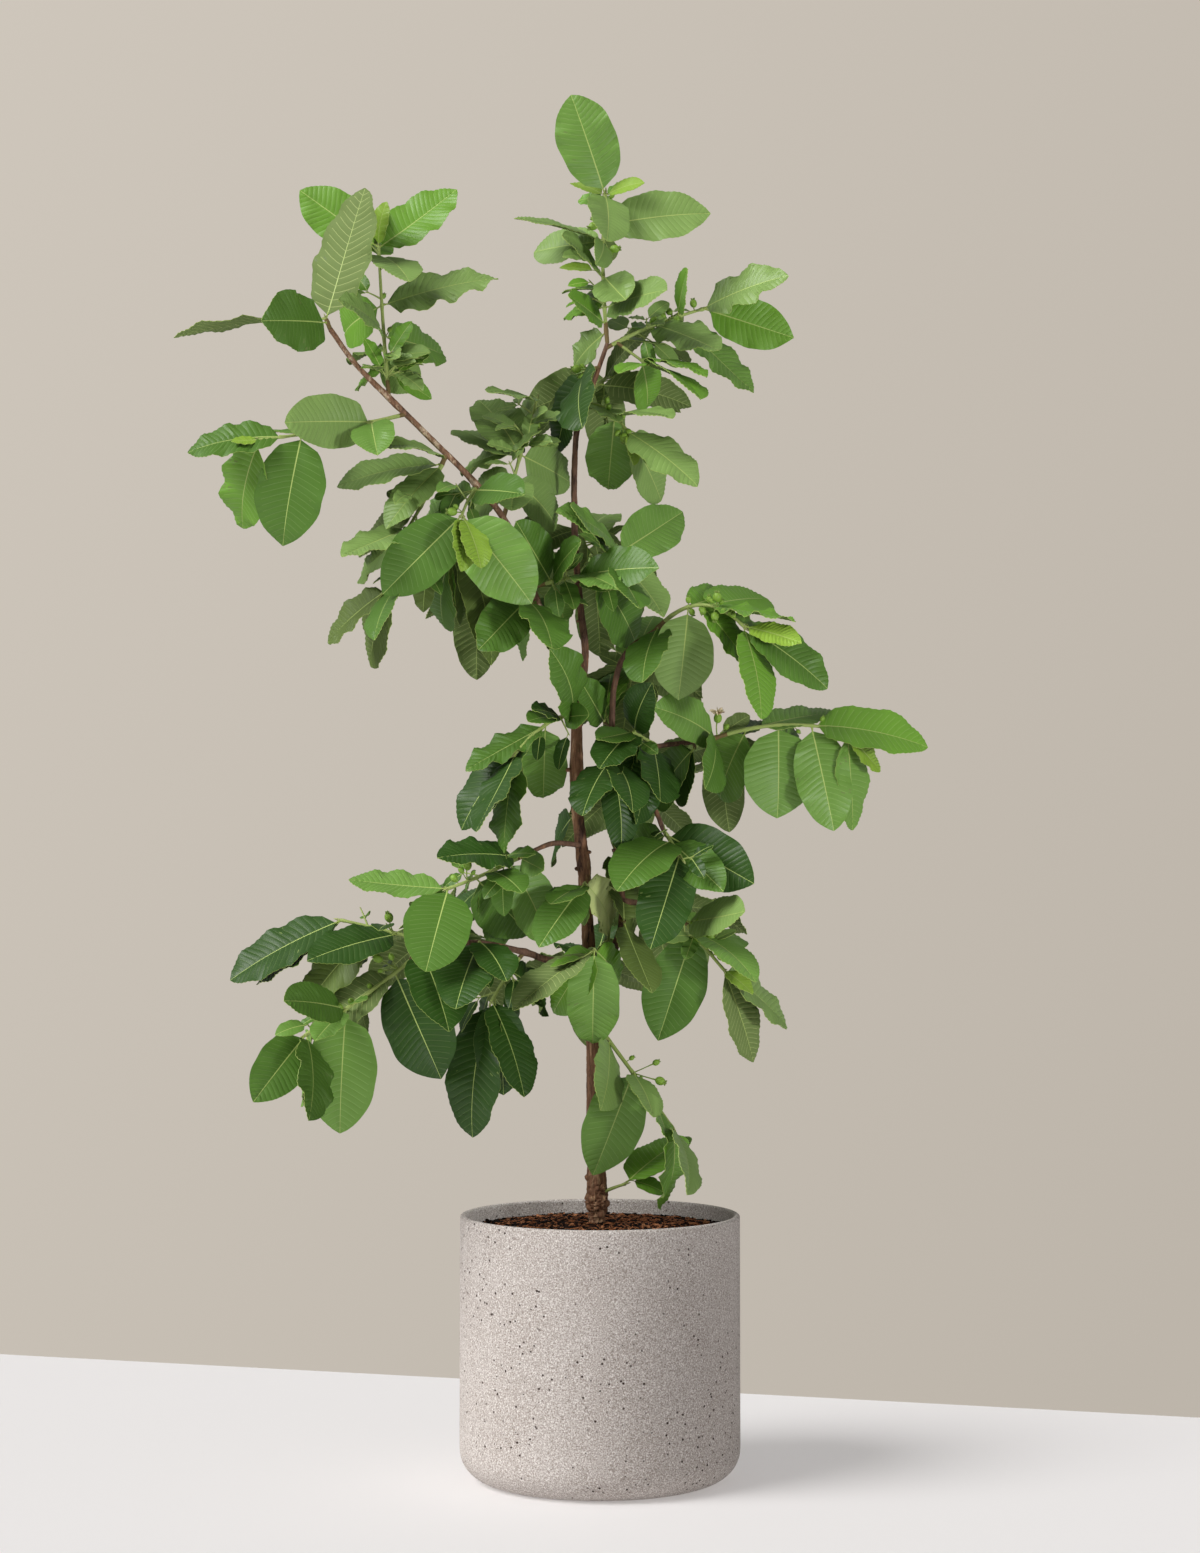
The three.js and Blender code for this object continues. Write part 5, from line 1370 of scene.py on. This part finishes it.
class LeafLooks(bpy.types.PropertyGroup):
    """Relief and colours of the leaves"""

    quilting: length_property("Quilting", "How far a blade bulges between its side veins", 0.0016)
    wave_least: share_property("Least wave", "Height of the margin's waves on the flattest leaf", 0.008)
    wave_most: share_property("Most wave", "Height of the margin's waves on the most ruffled leaf", 0.042)
    shoot_spacing: length_property("Shoot spacing", "Length of twig for each fine side shoot", 0.02)
    shoot_room: length_property("Shoot room", "Least distance of a small leaf from the large ones", 0.008)
    roughness: share_property("Roughness", "How matt the upper sides are", 0.4)
    mature: colour_property("Mature", "Most grown leaves", 83, 121, 45)
    # a darker copy of the leaf green: partly old leaves' own darker green, partly painted shade
    deep: colour_property("Deep", "Shaded and old leaves", 48, 80, 26)
    soft: colour_property("Soft", "Greyish light leaves near the top", 127, 158, 84)
    bright: colour_property("Bright", "Strong green leaves at the tips", 109, 156, 53)
    olive: colour_property("Olive", "Dull brownish green leaves", 95, 115, 54)
    # a lighter copy of the leaf green, painted light for leaves that face it
    light: colour_property("Light", "Clean green leaves that face the light", 110, 150, 66)
    young: colour_property("Young", "Yellow-green leaves just unfolded", 140, 175, 62)
    # the palest copy of the leaf green, painted light for a leaf that faces it
    pale: colour_property("Pale", "The palest leaf, which faces the light", 196, 208, 136)
    vein: colour_property("Side veins", "What the side veins' colour leans to", 188, 212, 140)
    vein_share: share_property("Vein share", "How far the side veins lean to it from the blade's colour", 0.2)
    midrib: colour_property("Midrib", "Midrib on the upper side", 176, 196, 112)
    petiole: colour_property("Leaf stalk", "Stalks of the leaves", 160, 180, 92)
    underside: colour_property("Underside", "Lower sides of the leaves", 114, 134, 76)
    under_vein: colour_property("Underside veins", "Veins that stand out below", 156, 170, 108)


class BarkLooks(bpy.types.PropertyGroup):
    """Relief and colours of trunk, boughs and twigs"""

    relief: length_property("Relief", "Height of the bark's plates on the trunk", 0.0008)
    dark: colour_property("Dark bark", "Cracks and old patches", 82, 57, 45)
    mid: colour_property("Bark", "Most of the trunk", 146, 106, 80)
    light: colour_property("Light bark", "Freshly flaked patches", 196, 158, 124)
    bough_dark: colour_property("Dark bough", "Old patches on the boughs", 74, 52, 42)
    bough_mid: colour_property("Bough", "Most of the dark boughs", 112, 84, 68)
    tan_mid: colour_property("Tan bough", "The pale left bough", 146, 110, 86)
    tan_light: colour_property("Light tan", "Flaked patches on the left bough", 208, 184, 156)
    green_twig: colour_property("Green twig", "Twigs of this year", 160, 178, 100)
    brown_twig: colour_property("Brown twig", "Older feet of the twigs", 118, 100, 62)
    bud: colour_property("Buds", "Resting buds and folded leaf tips", 156, 164, 104)


class FruitLooks(bpy.types.PropertyGroup):
    """Colours of fruits and the last blossom"""

    skin: colour_property("Fruit", "Skin of the young fruits", 128, 164, 62)
    sepal: colour_property("Crown", "The dry crown on a fruit", 116, 138, 66)
    stalk: colour_property("Fruit stalk", "Stalks of the fruits", 136, 158, 78)
    petal: colour_property("Dry petal", "Petals left on the blossom", 226, 208, 172)
    stamen: colour_property("Dry stamen", "Shrivelled stamens", 112, 66, 40)


class PotLooks(bpy.types.PropertyGroup):
    """Colours of the pot"""

    colour: colour_property("Concrete", "Most of the pot", 186, 178, 173)
    mottle: colour_property("Mottling", "Broad darker patches", 178, 169, 163)
    dark_grain: colour_property("Dark grain", "Fine dark specks", 138, 127, 119)
    light_grain: colour_property("Light grain", "Fine light specks", 232, 228, 224)
    # a dark colour for the painted shade inside the pits
    painted_pit_shade: colour_property("Pits", "Inside of the small pits", 66, 54, 48)
    pit_clusters: share_property("Pit clusters", "How rare the clusters of pits are", 0.47)


class MixLooks(bpy.types.PropertyGroup):
    """Crumbs and colours of the potting mix"""

    chips: count_property("Chips", "Coir chips on the surface", 3200)
    fibres: count_property("Fibres", "Loose fibres on the surface", 800)
    # the crumbs' dark colour is partly wet coir and partly painted shade between the chips
    dark: colour_property("Dark mix", "Fine wet crumbs", 30, 19, 14)
    chip: colour_property("Chips", "Most coir chips", 58, 35, 24)
    pale_chip: colour_property("Pale chips", "The driest chips", 196, 134, 94)
    fibre: colour_property("Fibre", "Coir fibres", 186, 120, 80)


class StageLooks(bpy.types.PropertyGroup):
    """Floor, backdrop and light"""

    floor: colour_property("Floor", "The pale floor", 236, 234, 234)
    wall: colour_property("Backdrop", "The plain backdrop at its lightest", 206, 198, 187)
    # painted shade on the backdrop, darkest low on the right
    wall_painted_shade: colour_property("Backdrop shade", "The backdrop low on the right", 189, 181, 170)
    sky: colour_property("Sky", "Colour of the light from all round", 255, 252, 250)
    ambient: strength_property("Ambient", "Strength of the light from all round", 0.28)
    key: strength_property("Key light", "Strength of the light from the left", 3.5)
    fill: power_property("Fill light", "Power of the soft light on the crown from the right", 95)
    inside: power_property("Light inside", "Power of the small lamp over the pot's opening", 1.1)
    floor_shadow: share_property("Floor shadow", "Share of the floor's light that the pot shades", 0.54)
    softness: bpy.props.FloatProperty(name="Softness", description="How wide the key light is",
                                      default=math.radians(36), subtype="ANGLE", unit="ROTATION")


GROUPS = {"guava_leaves": LeafLooks, "guava_bark": BarkLooks, "guava_fruit": FruitLooks,
          "guava_pot": PotLooks, "guava_mix": MixLooks, "guava_stage": StageLooks}


# ---- Operators ----


# For each piece of bark its limbs, its finish, that finish's colours and how long its patches are drawn.
BARK_PIECES = {
    "trunk_bark": (("trunk",), "trunk_bark", ("dark", "mid", "light"), 0.22),
    "dark_bough_bark": (tuple(name for name in LIMBS if name not in ("trunk", "left_bough")), "bough_bark",
                        ("bough_dark", "bough_mid", "mid"), 0.3),
    "tan_bough_bark": (("left_bough",), "tan_bark", ("bough_mid", "tan_mid", "tan_light"), 0.6),
}


class GUAVA_OT_bark(bpy.types.Operator):
    """Cover the trunk and boughs with bark that has its relief"""

    bl_idname = "guava.bark"
    bl_label = "Trunk and boughs"

    def execute(self, context):
        looks = context.scene.guava_bark
        for number, (piece, (names, finish, colours, grain)) in enumerate(BARK_PIECES.items()):
            pile = Pile()
            for name in names:
                pile.add(*bark_tube(name, looks.relief), 0)
            add_stubs(pile, names, looks_dice(number, FOR_STUBS))
            material = bark_finish(finish, *(getattr(looks, colour) for colour in colours), grain)
            pile.piece(piece, [material], "bark", names)
        return {"FINISHED"}


class GUAVA_OT_twigs(bpy.types.Operator):
    """Grow the twigs, their finer side shoots and their buds"""

    bl_idname = "guava.twigs"
    bl_label = "Twigs and buds"

    def execute(self, context):
        looks = context.scene.guava_bark
        pile = Pile()
        for number, mass in enumerate(crown()):
            dice = looks_dice(number, FOR_TWIGS)
            for curve, size, nodes in mass["twigs"]:
                brown = 1 if np.linalg.norm(curve(1) - curve(0)) < ALL_BROWN else dice(*BROWN_FOOT)
                shares = node_shares(mass["row"], nodes)
                add_twig(pile, curve, size["foot"], size["tip"], shares, brown, dice)
            for leaf in mass["leaves"]:
                out = unit(leaf["course"] + UP * SIDE_BUD["up"])
                length, breadth = dice(*SIDE_BUD["lengths"]), dice(*SIDE_BUD["breadths"])
                add_bud(pile, leaf["foot"] + out * SIDE_BUD["off"], out, length, breadth)
            stem = mass["twigs"][0][0]
            ahead = unit(stem(1) - stem(END_BUD["behind"]))
            add_bud(pile, stem(1) - ahead, ahead, dice(*END_BUD["lengths"]), END_BUD["breadth"])
        for number, (_, shoot, _) in enumerate(finer_twigs(context.scene.guava_leaves)):
            dice = looks_dice(number, FOR_SHOOT_TWIGS)
            add_twig(pile, shoot, nodes=[], brown=0, dice=dice, **SHOOT_TWIG)
            ahead = unit(shoot(1) - shoot(SHOOT_BUD["behind"]))
            foot = shoot(1) - ahead * SHOOT_BUD["sunk"]
            add_bud(pile, foot, ahead, dice(*SHOOT_BUD["lengths"]), SHOOT_BUD["breadth"])
        finishes = [
            leaf_finish("green_twig", looks.green_twig, 0.55),
            leaf_finish("brown_twig", looks.brown_twig, 0.7),
            leaf_finish("bud_scales", looks.bud, 0.6),
        ]
        pile.piece("twigs_and_buds", finishes, "bark")
        return {"FINISHED"}


UNDER_MATT = 0.75  # how matt the undersides are
OLIVE_MATT = 0.1  # how much more matt the olive leaves are than the others


class GUAVA_OT_leaves(bpy.types.Operator):
    """Grow the leaves of every mass in their own outlines"""

    bl_idname = "guava.leaves"
    bl_label = "Leaves"

    def leaf_finishes(self, looks):
        """The materials of a foliage piece, in their order."""
        rough = looks.roughness
        finishes = [
            leaf_finish("midrib", looks.midrib, rough),
            leaf_finish("underside", looks.underside, UNDER_MATT, specular=0.2),
            leaf_finish("underside_veins", looks.under_vein, 0.7, specular=0.2),
            leaf_finish("leaf_stalk", looks.petiole, rough),
        ]
        for tone in TONE_NAMES:
            blade = Vector(getattr(looks, tone))
            finishes.append(leaf_finish("leaf_" + tone, blade, rough + OLIVE_MATT * (tone == "olive")))
            share = looks.vein_share * FAINT_VEINS.get(tone, 1)
            finishes.append(leaf_finish("veins_" + tone, blade.lerp(Vector(looks.vein), share), rough))
        return finishes

    def add_mass(self, pile, number, mass, small, looks):
        """All leaves of a mass, and the small ones on its side shoots."""
        far = "pairs" in mass["row"]
        for leaf in mass["leaves"]:
            dice = looks_dice(number, leaf["number"], FOR_LEAVES)
            flipped = (mass["name"], leaf["number"]) in TURNED_LEAVES
            add_leaf(pile, leaf, tone_of(mass, leaf, dice), dice, looks, far, flipped)
        for k, leaf in enumerate(small):
            dice = looks_dice(number, k, FOR_SMALL_LEAVES)
            young = dice(0, 1) < YOUNG_SHOOTS
            tone = TONE_NAMES.index("young") if young else tone_of(mass, leaf, dice)
            add_leaf(pile, leaf, tone, dice, looks, far)

    def execute(self, context):
        looks = context.scene.guava_leaves
        finishes = self.leaf_finishes(looks)
        shoots = finer_twigs(looks)
        for piece, names in FOLIAGE_PIECES.items():
            pile = Pile()
            for number, mass in enumerate(crown()):
                if mass["name"] in names:
                    small = [leaf for owner, _, leaves in shoots if owner is mass for leaf in leaves]
                    self.add_mass(pile, number, mass, small, looks)
            pile.piece(piece, finishes, "leaves", ["leaves_" + name for name in names])
        return {"FINISHED"}


WITHERED_MASS = "far_right"  # bears the last blossom
FRUIT_SIZE = 0.95
SISTER = dict(aside=(0.5, 0.8), towards=(-0.3, 0.3), chance=0.75, stalk=(0.6, 0.85), size=(0.45, 0.7))
STALK_BUD = dict(ahead=(0, 0.6), up=(0.2, 0.8), front=(0, 0.5), place=(0.25, 0.95), stalk=(6, 13),
                 size=(0.38, 0.62))


class GUAVA_OT_fruits(bpy.types.Operator):
    """Hang the young fruits, their buds and the last withered blossom"""

    bl_idname = "guava.fruits"
    bl_label = "Fruits and blossom"

    def add_cluster(self, pile, foot, course, stalk, withered, dice):
        """A fruit with a smaller bud on each side, if the dice fall so."""
        add_fruit(pile, foot, course, stalk, FRUIT_SIZE, dice, withered)
        aside = unit(np.cross(course, FRONT))
        for side in (-1, 1):
            out = aside * side * dice(*SISTER["aside"])
            sister = unit(course + out + FRONT * dice(*SISTER["towards"]))
            if dice(0, 1) < SISTER["chance"]:
                add_fruit(pile, foot, sister, stalk * dice(*SISTER["stalk"]), dice(*SISTER["size"]), dice)

    def add_bud_stalk(self, pile, mass, dice):
        """A flower bud on a stalk of its own, anywhere along a mass's stem."""
        stem = mass["twigs"][0][0]
        ahead = unit(stem(1) - stem(0))
        out = turned(aside_of(ahead), ahead, dice(0, TURN))
        course = out + ahead * dice(*STALK_BUD["ahead"]) + UP * dice(*STALK_BUD["up"])
        course = unit(course + FRONT * dice(*STALK_BUD["front"]))
        foot, stalk = stem(dice(*STALK_BUD["place"])), dice(*STALK_BUD["stalk"])
        growth = SWOLLEN if mass["name"] in SWOLLEN_BUDS else 1
        add_fruit(pile, foot, course, stalk, dice(*STALK_BUD["size"]) * growth, dice)

    def execute(self, context):
        looks = context.scene.guava_fruit
        pile = Pile()
        for number, mass in enumerate(crown()):
            dice = looks_dice(number, FOR_FRUITS)
            for foot, course, stalk in mass["fruits"]:
                self.add_cluster(pile, foot, course, stalk, mass["name"] == WITHERED_MASS, dice)
            for _ in range(BUD_STALKS.get(mass["name"], 0)):
                self.add_bud_stalk(pile, mass, dice)
        finishes = [
            leaf_finish("fruit_skin", looks.skin, 0.42, 0.0002),
            leaf_finish("fruit_crown", looks.sepal, 0.7),
            leaf_finish("fruit_stalk", looks.stalk, 0.6),
            leaf_finish("dry_petal", looks.petal, 0.85),
            leaf_finish("dry_stamen", looks.stamen, 0.85),
        ]
        pile.piece("fruits_and_blossom", finishes, "leaves")
        return {"FINISHED"}


class GUAVA_OT_mix(bpy.types.Operator):
    """Fill the pot with potting mix, coir chips and loose fibres"""

    bl_idname = "guava.mix"
    bl_label = "Potting mix"

    def execute(self, context):
        looks = context.scene.guava_mix
        pile = Pile()
        pile.add(*turned_mesh(mix_section(), MIX_SIDES, mix_level), CRUMB)
        dice = looks_dice(1, FOR_MIX)
        add_chips(pile, looks.chips, dice)
        add_fibres(pile, looks.fibres, dice)
        # the crumbs' material is both dark wet coir and painted shade between the chips
        colours = {"mix_crumbs_and_painted_shade": looks.dark, "coir_chips": looks.chip, "pale_chips": looks.pale_chip,
                   "coir_fibre": looks.fibre}
        finishes = [coir_finish(name, colour) for name, colour in colours.items()]
        pile.piece("potting_mix_and_coir", finishes, "potting_mix", ["potting_mix"], crease=0.6)
        return {"FINISHED"}


class GUAVA_OT_pot(bpy.types.Operator):
    """Turn the round pot with its soft foot and thin lip"""

    bl_idname = "guava.pot"
    bl_label = "Pot"

    def execute(self, context):
        pile = Pile()
        pile.add(*turned_mesh(pot_section(), POT_SIDES), 0)
        finish = pot_finish(context.scene.guava_pot)
        pile.piece("concrete_pot", [finish], "fibre_concrete", ["pot"], crease=0.9)
        return {"FINISHED"}


FLOOR_TURN = math.atan2(-458, 1536)  # the floor's far edge runs aslant
FLOOR_BEHIND, FLOOR_REACH = 0.5215, 5.0
# The backdrop carries painted shade, darker towards the right and the floor: its slant, and where on it the
# painted shade runs.
WALL_SLANT, WALL_SHADE = (1, 0, -0.6), (-0.395, 0.286)
EYE, EYE_PITCH = (0.0, -3.0, 0.624), math.radians(2.379)
SENSOR = 36
LENS = 2780 * SENSOR / 1553
KEY_FROM, KEY_COLOUR = Vector((-0.69, -0.34, 0.64)), (1.0, 0.99, 0.98)
FILL_TO = Vector((0.06, 0, 0.93))  # the crown's middle, so that its cone passes over the pot
FILL = dict(place=Vector((1.6, -1.8, 0.65)), target=FILL_TO, cone=math.radians(31), blend=0.4, size=0.16)
INSIDE = dict(place=Vector((0.06, -0.09, 0.46)), target=Vector((-0.13, 0.06, 0.27)), cone=math.radians(96),
              blend=1.0, size=0.03)


def stand(name, data):
    """A new object in the scene."""
    made = bpy.data.objects.new(name, data)
    bpy.context.scene.collection.objects.link(made)
    return made


def add_floor(looks):
    """The floor, which ends behind the pot."""
    along = Vector((math.cos(FLOOR_TURN), math.sin(FLOOR_TURN), 0))
    behind = Vector((-along.y, along.x, 0))
    far, near, aside = behind * FLOOR_BEHIND, -behind * FLOOR_REACH, along * FLOOR_REACH
    mesh = bpy.data.meshes.new("floor")
    mesh.from_pydata([near - aside, near + aside, far + aside, far - aside], [], [(0, 1, 2, 3)])
    mesh.materials.append(Finish("floor", looks.floor, 0.9, 0.1).material)
    floor = stand("floor", mesh)
    return floor


def add_backdrop(looks):
    """The light from all round, and the backdrop with its painted shade that the camera sees in its place."""
    world = bpy.data.worlds.new("backdrop")
    world.use_nodes = True
    bpy.context.scene.world = world
    made = Nodes(world.node_tree)
    sky = made.tree.nodes["Background"]
    made.feed((*looks.sky, 1), sky.inputs["Color"])
    made.feed(looks.ambient, sky.inputs["Strength"])
    place = made.node("ShaderNodeTexCoord").outputs["Generated"]
    slant = made.node("ShaderNodeVectorMath")
    slant.operation = "DOT_PRODUCT"
    made.feed(place, slant.inputs[0])
    made.feed(WALL_SLANT, slant.inputs[1])
    shade = made.node("ShaderNodeMapRange", Value=slant.outputs["Value"], From_Min=WALL_SHADE[0],
                      From_Max=WALL_SHADE[1])
    # the backdrop's colour runs into its painted shade along the slant
    colour = made.mix(shade.outputs["Result"], looks.wall, looks.wall_painted_shade)
    wall = made.node("ShaderNodeBackground", Color=colour)
    seen = made.node("ShaderNodeLightPath").outputs["Is Camera Ray"]
    both = made.node("ShaderNodeMixShader")
    for value, socket in zip((seen, sky.outputs[0], wall.outputs[0]), both.inputs):
        made.feed(value, socket)
    made.feed(both.outputs[0], made.tree.nodes["World Output"].inputs["Surface"])


def add_lamp(name, kind, power, way, **settings):
    """A lamp that shines against a way."""
    light = bpy.data.lights.new(name, kind)
    light.energy = power
    for setting, value in settings.items():
        setattr(light, setting, value)
    lamp = stand(name, light)
    lamp.rotation_euler = way.to_track_quat("Z", "Y").to_euler()
    return lamp


def add_spot(name, power, place, target, cone, blend, size):
    """A lamp with a cone, which the camera doesn't see."""
    lamp = add_lamp(name, "SPOT", power, place - target, spot_size=cone, spot_blend=blend,
                    shadow_soft_size=size)
    lamp.location = place
    lamp.visible_camera = False
    return lamp


def link_lamp(lamp, lit, state, shading=None):
    """Has a lamp light one piece only, or all others, and be shaded by one piece only."""
    linking = lamp.light_linking
    linking.receiver_collection = bpy.data.collections.new(lamp.name + "_lit")
    linking.receiver_collection.objects.link(lit)
    linking.receiver_collection.collection_objects[0].light_linking.link_state = state
    if shading:
        linking.blocker_collection = bpy.data.collections.new(lamp.name + "_shading")
        linking.blocker_collection.objects.link(shading)


def add_lights(looks, floor, pot):
    """The key light from the left, a lamp for the pot's inside and a soft light on the crown."""
    # the floor has a key light of its own, so that its shadow is the pot's and stays faint
    shadow = looks.floor_shadow
    keys = (("key", 1, "EXCLUDE", None), ("floor_key", shadow, "INCLUDE", pot),
            ("floor_light", 1 - shadow, "INCLUDE", floor))
    for name, share, state, shading in keys:
        lamp = add_lamp(name, "SUN", looks.key * share, KEY_FROM, angle=looks.softness, color=KEY_COLOUR)
        link_lamp(lamp, floor, state, shading)
    link_lamp(add_spot("pot_inside", looks.inside, **INSIDE), pot, "INCLUDE", pot)
    add_spot("fill", looks.fill, **FILL)


def add_camera():
    """The camera, a little below the crown's middle."""
    camera = bpy.data.cameras.new("camera")
    camera.sensor_fit = "AUTO"
    camera.sensor_width = SENSOR
    camera.lens = LENS
    camera.clip_end = 100
    eye = stand("camera", camera)
    eye.location = EYE
    eye.rotation_euler = (math.pi / 2 + EYE_PITCH, 0, 0)
    bpy.context.scene.camera = eye


class GUAVA_OT_stage(bpy.types.Operator):
    """Set the floor, the backdrop, the lights and the camera"""

    bl_idname = "guava.stage"
    bl_label = "Stage"

    def execute(self, context):
        looks = context.scene.guava_stage
        pot = bpy.data.objects.get("concrete_pot")
        if pot is None:
            raise RuntimeError("the pot has to stand before the stage is set")
        floor = add_floor(looks)
        add_backdrop(looks)
        add_lights(looks, floor, pot)
        add_camera()
        context.scene.view_settings.view_transform = "Standard"
        return {"FINISHED"}


class GUAVA_PT_panel(bpy.types.Panel):
    """Everything the potted guava tree is made of"""

    bl_idname = "GUAVA_PT_panel"
    bl_label = "Potted guava tree"
    bl_space_type = "VIEW_3D"
    bl_region_type = "UI"
    bl_category = "Guava"

    def draw(self, context):
        for group, operators in STEPS.items():
            box = self.layout.box()
            looks = getattr(context.scene, group)
            for name in looks.__annotations__:
                box.prop(looks, name)
            for operator in operators:
                box.operator(operator.bl_idname)


STEPS = {
    "guava_pot": (GUAVA_OT_pot,),
    "guava_mix": (GUAVA_OT_mix,),
    "guava_bark": (GUAVA_OT_bark, GUAVA_OT_twigs),
    "guava_leaves": (GUAVA_OT_leaves,),
    "guava_fruit": (GUAVA_OT_fruits,),
    "guava_stage": (GUAVA_OT_stage,),
}
CLASSES = [*GROUPS.values(), *(made for steps in STEPS.values() for made in steps), GUAVA_PT_panel]


def register():
    for made in CLASSES:
        bpy.utils.register_class(made)
    for name, group in GROUPS.items():
        setattr(bpy.types.Scene, name, bpy.props.PointerProperty(type=group))


def unregister():
    for name in GROUPS:
        delattr(bpy.types.Scene, name)
    for made in reversed(CLASSES):
        bpy.utils.unregister_class(made)


def main():
    """Builds the whole part."""
    register()
    for operators in STEPS.values():
        for made in operators:
            category, name = made.bl_idname.split(".")
            getattr(getattr(bpy.ops, category), name)()


if __name__ == "__main__":
    main()
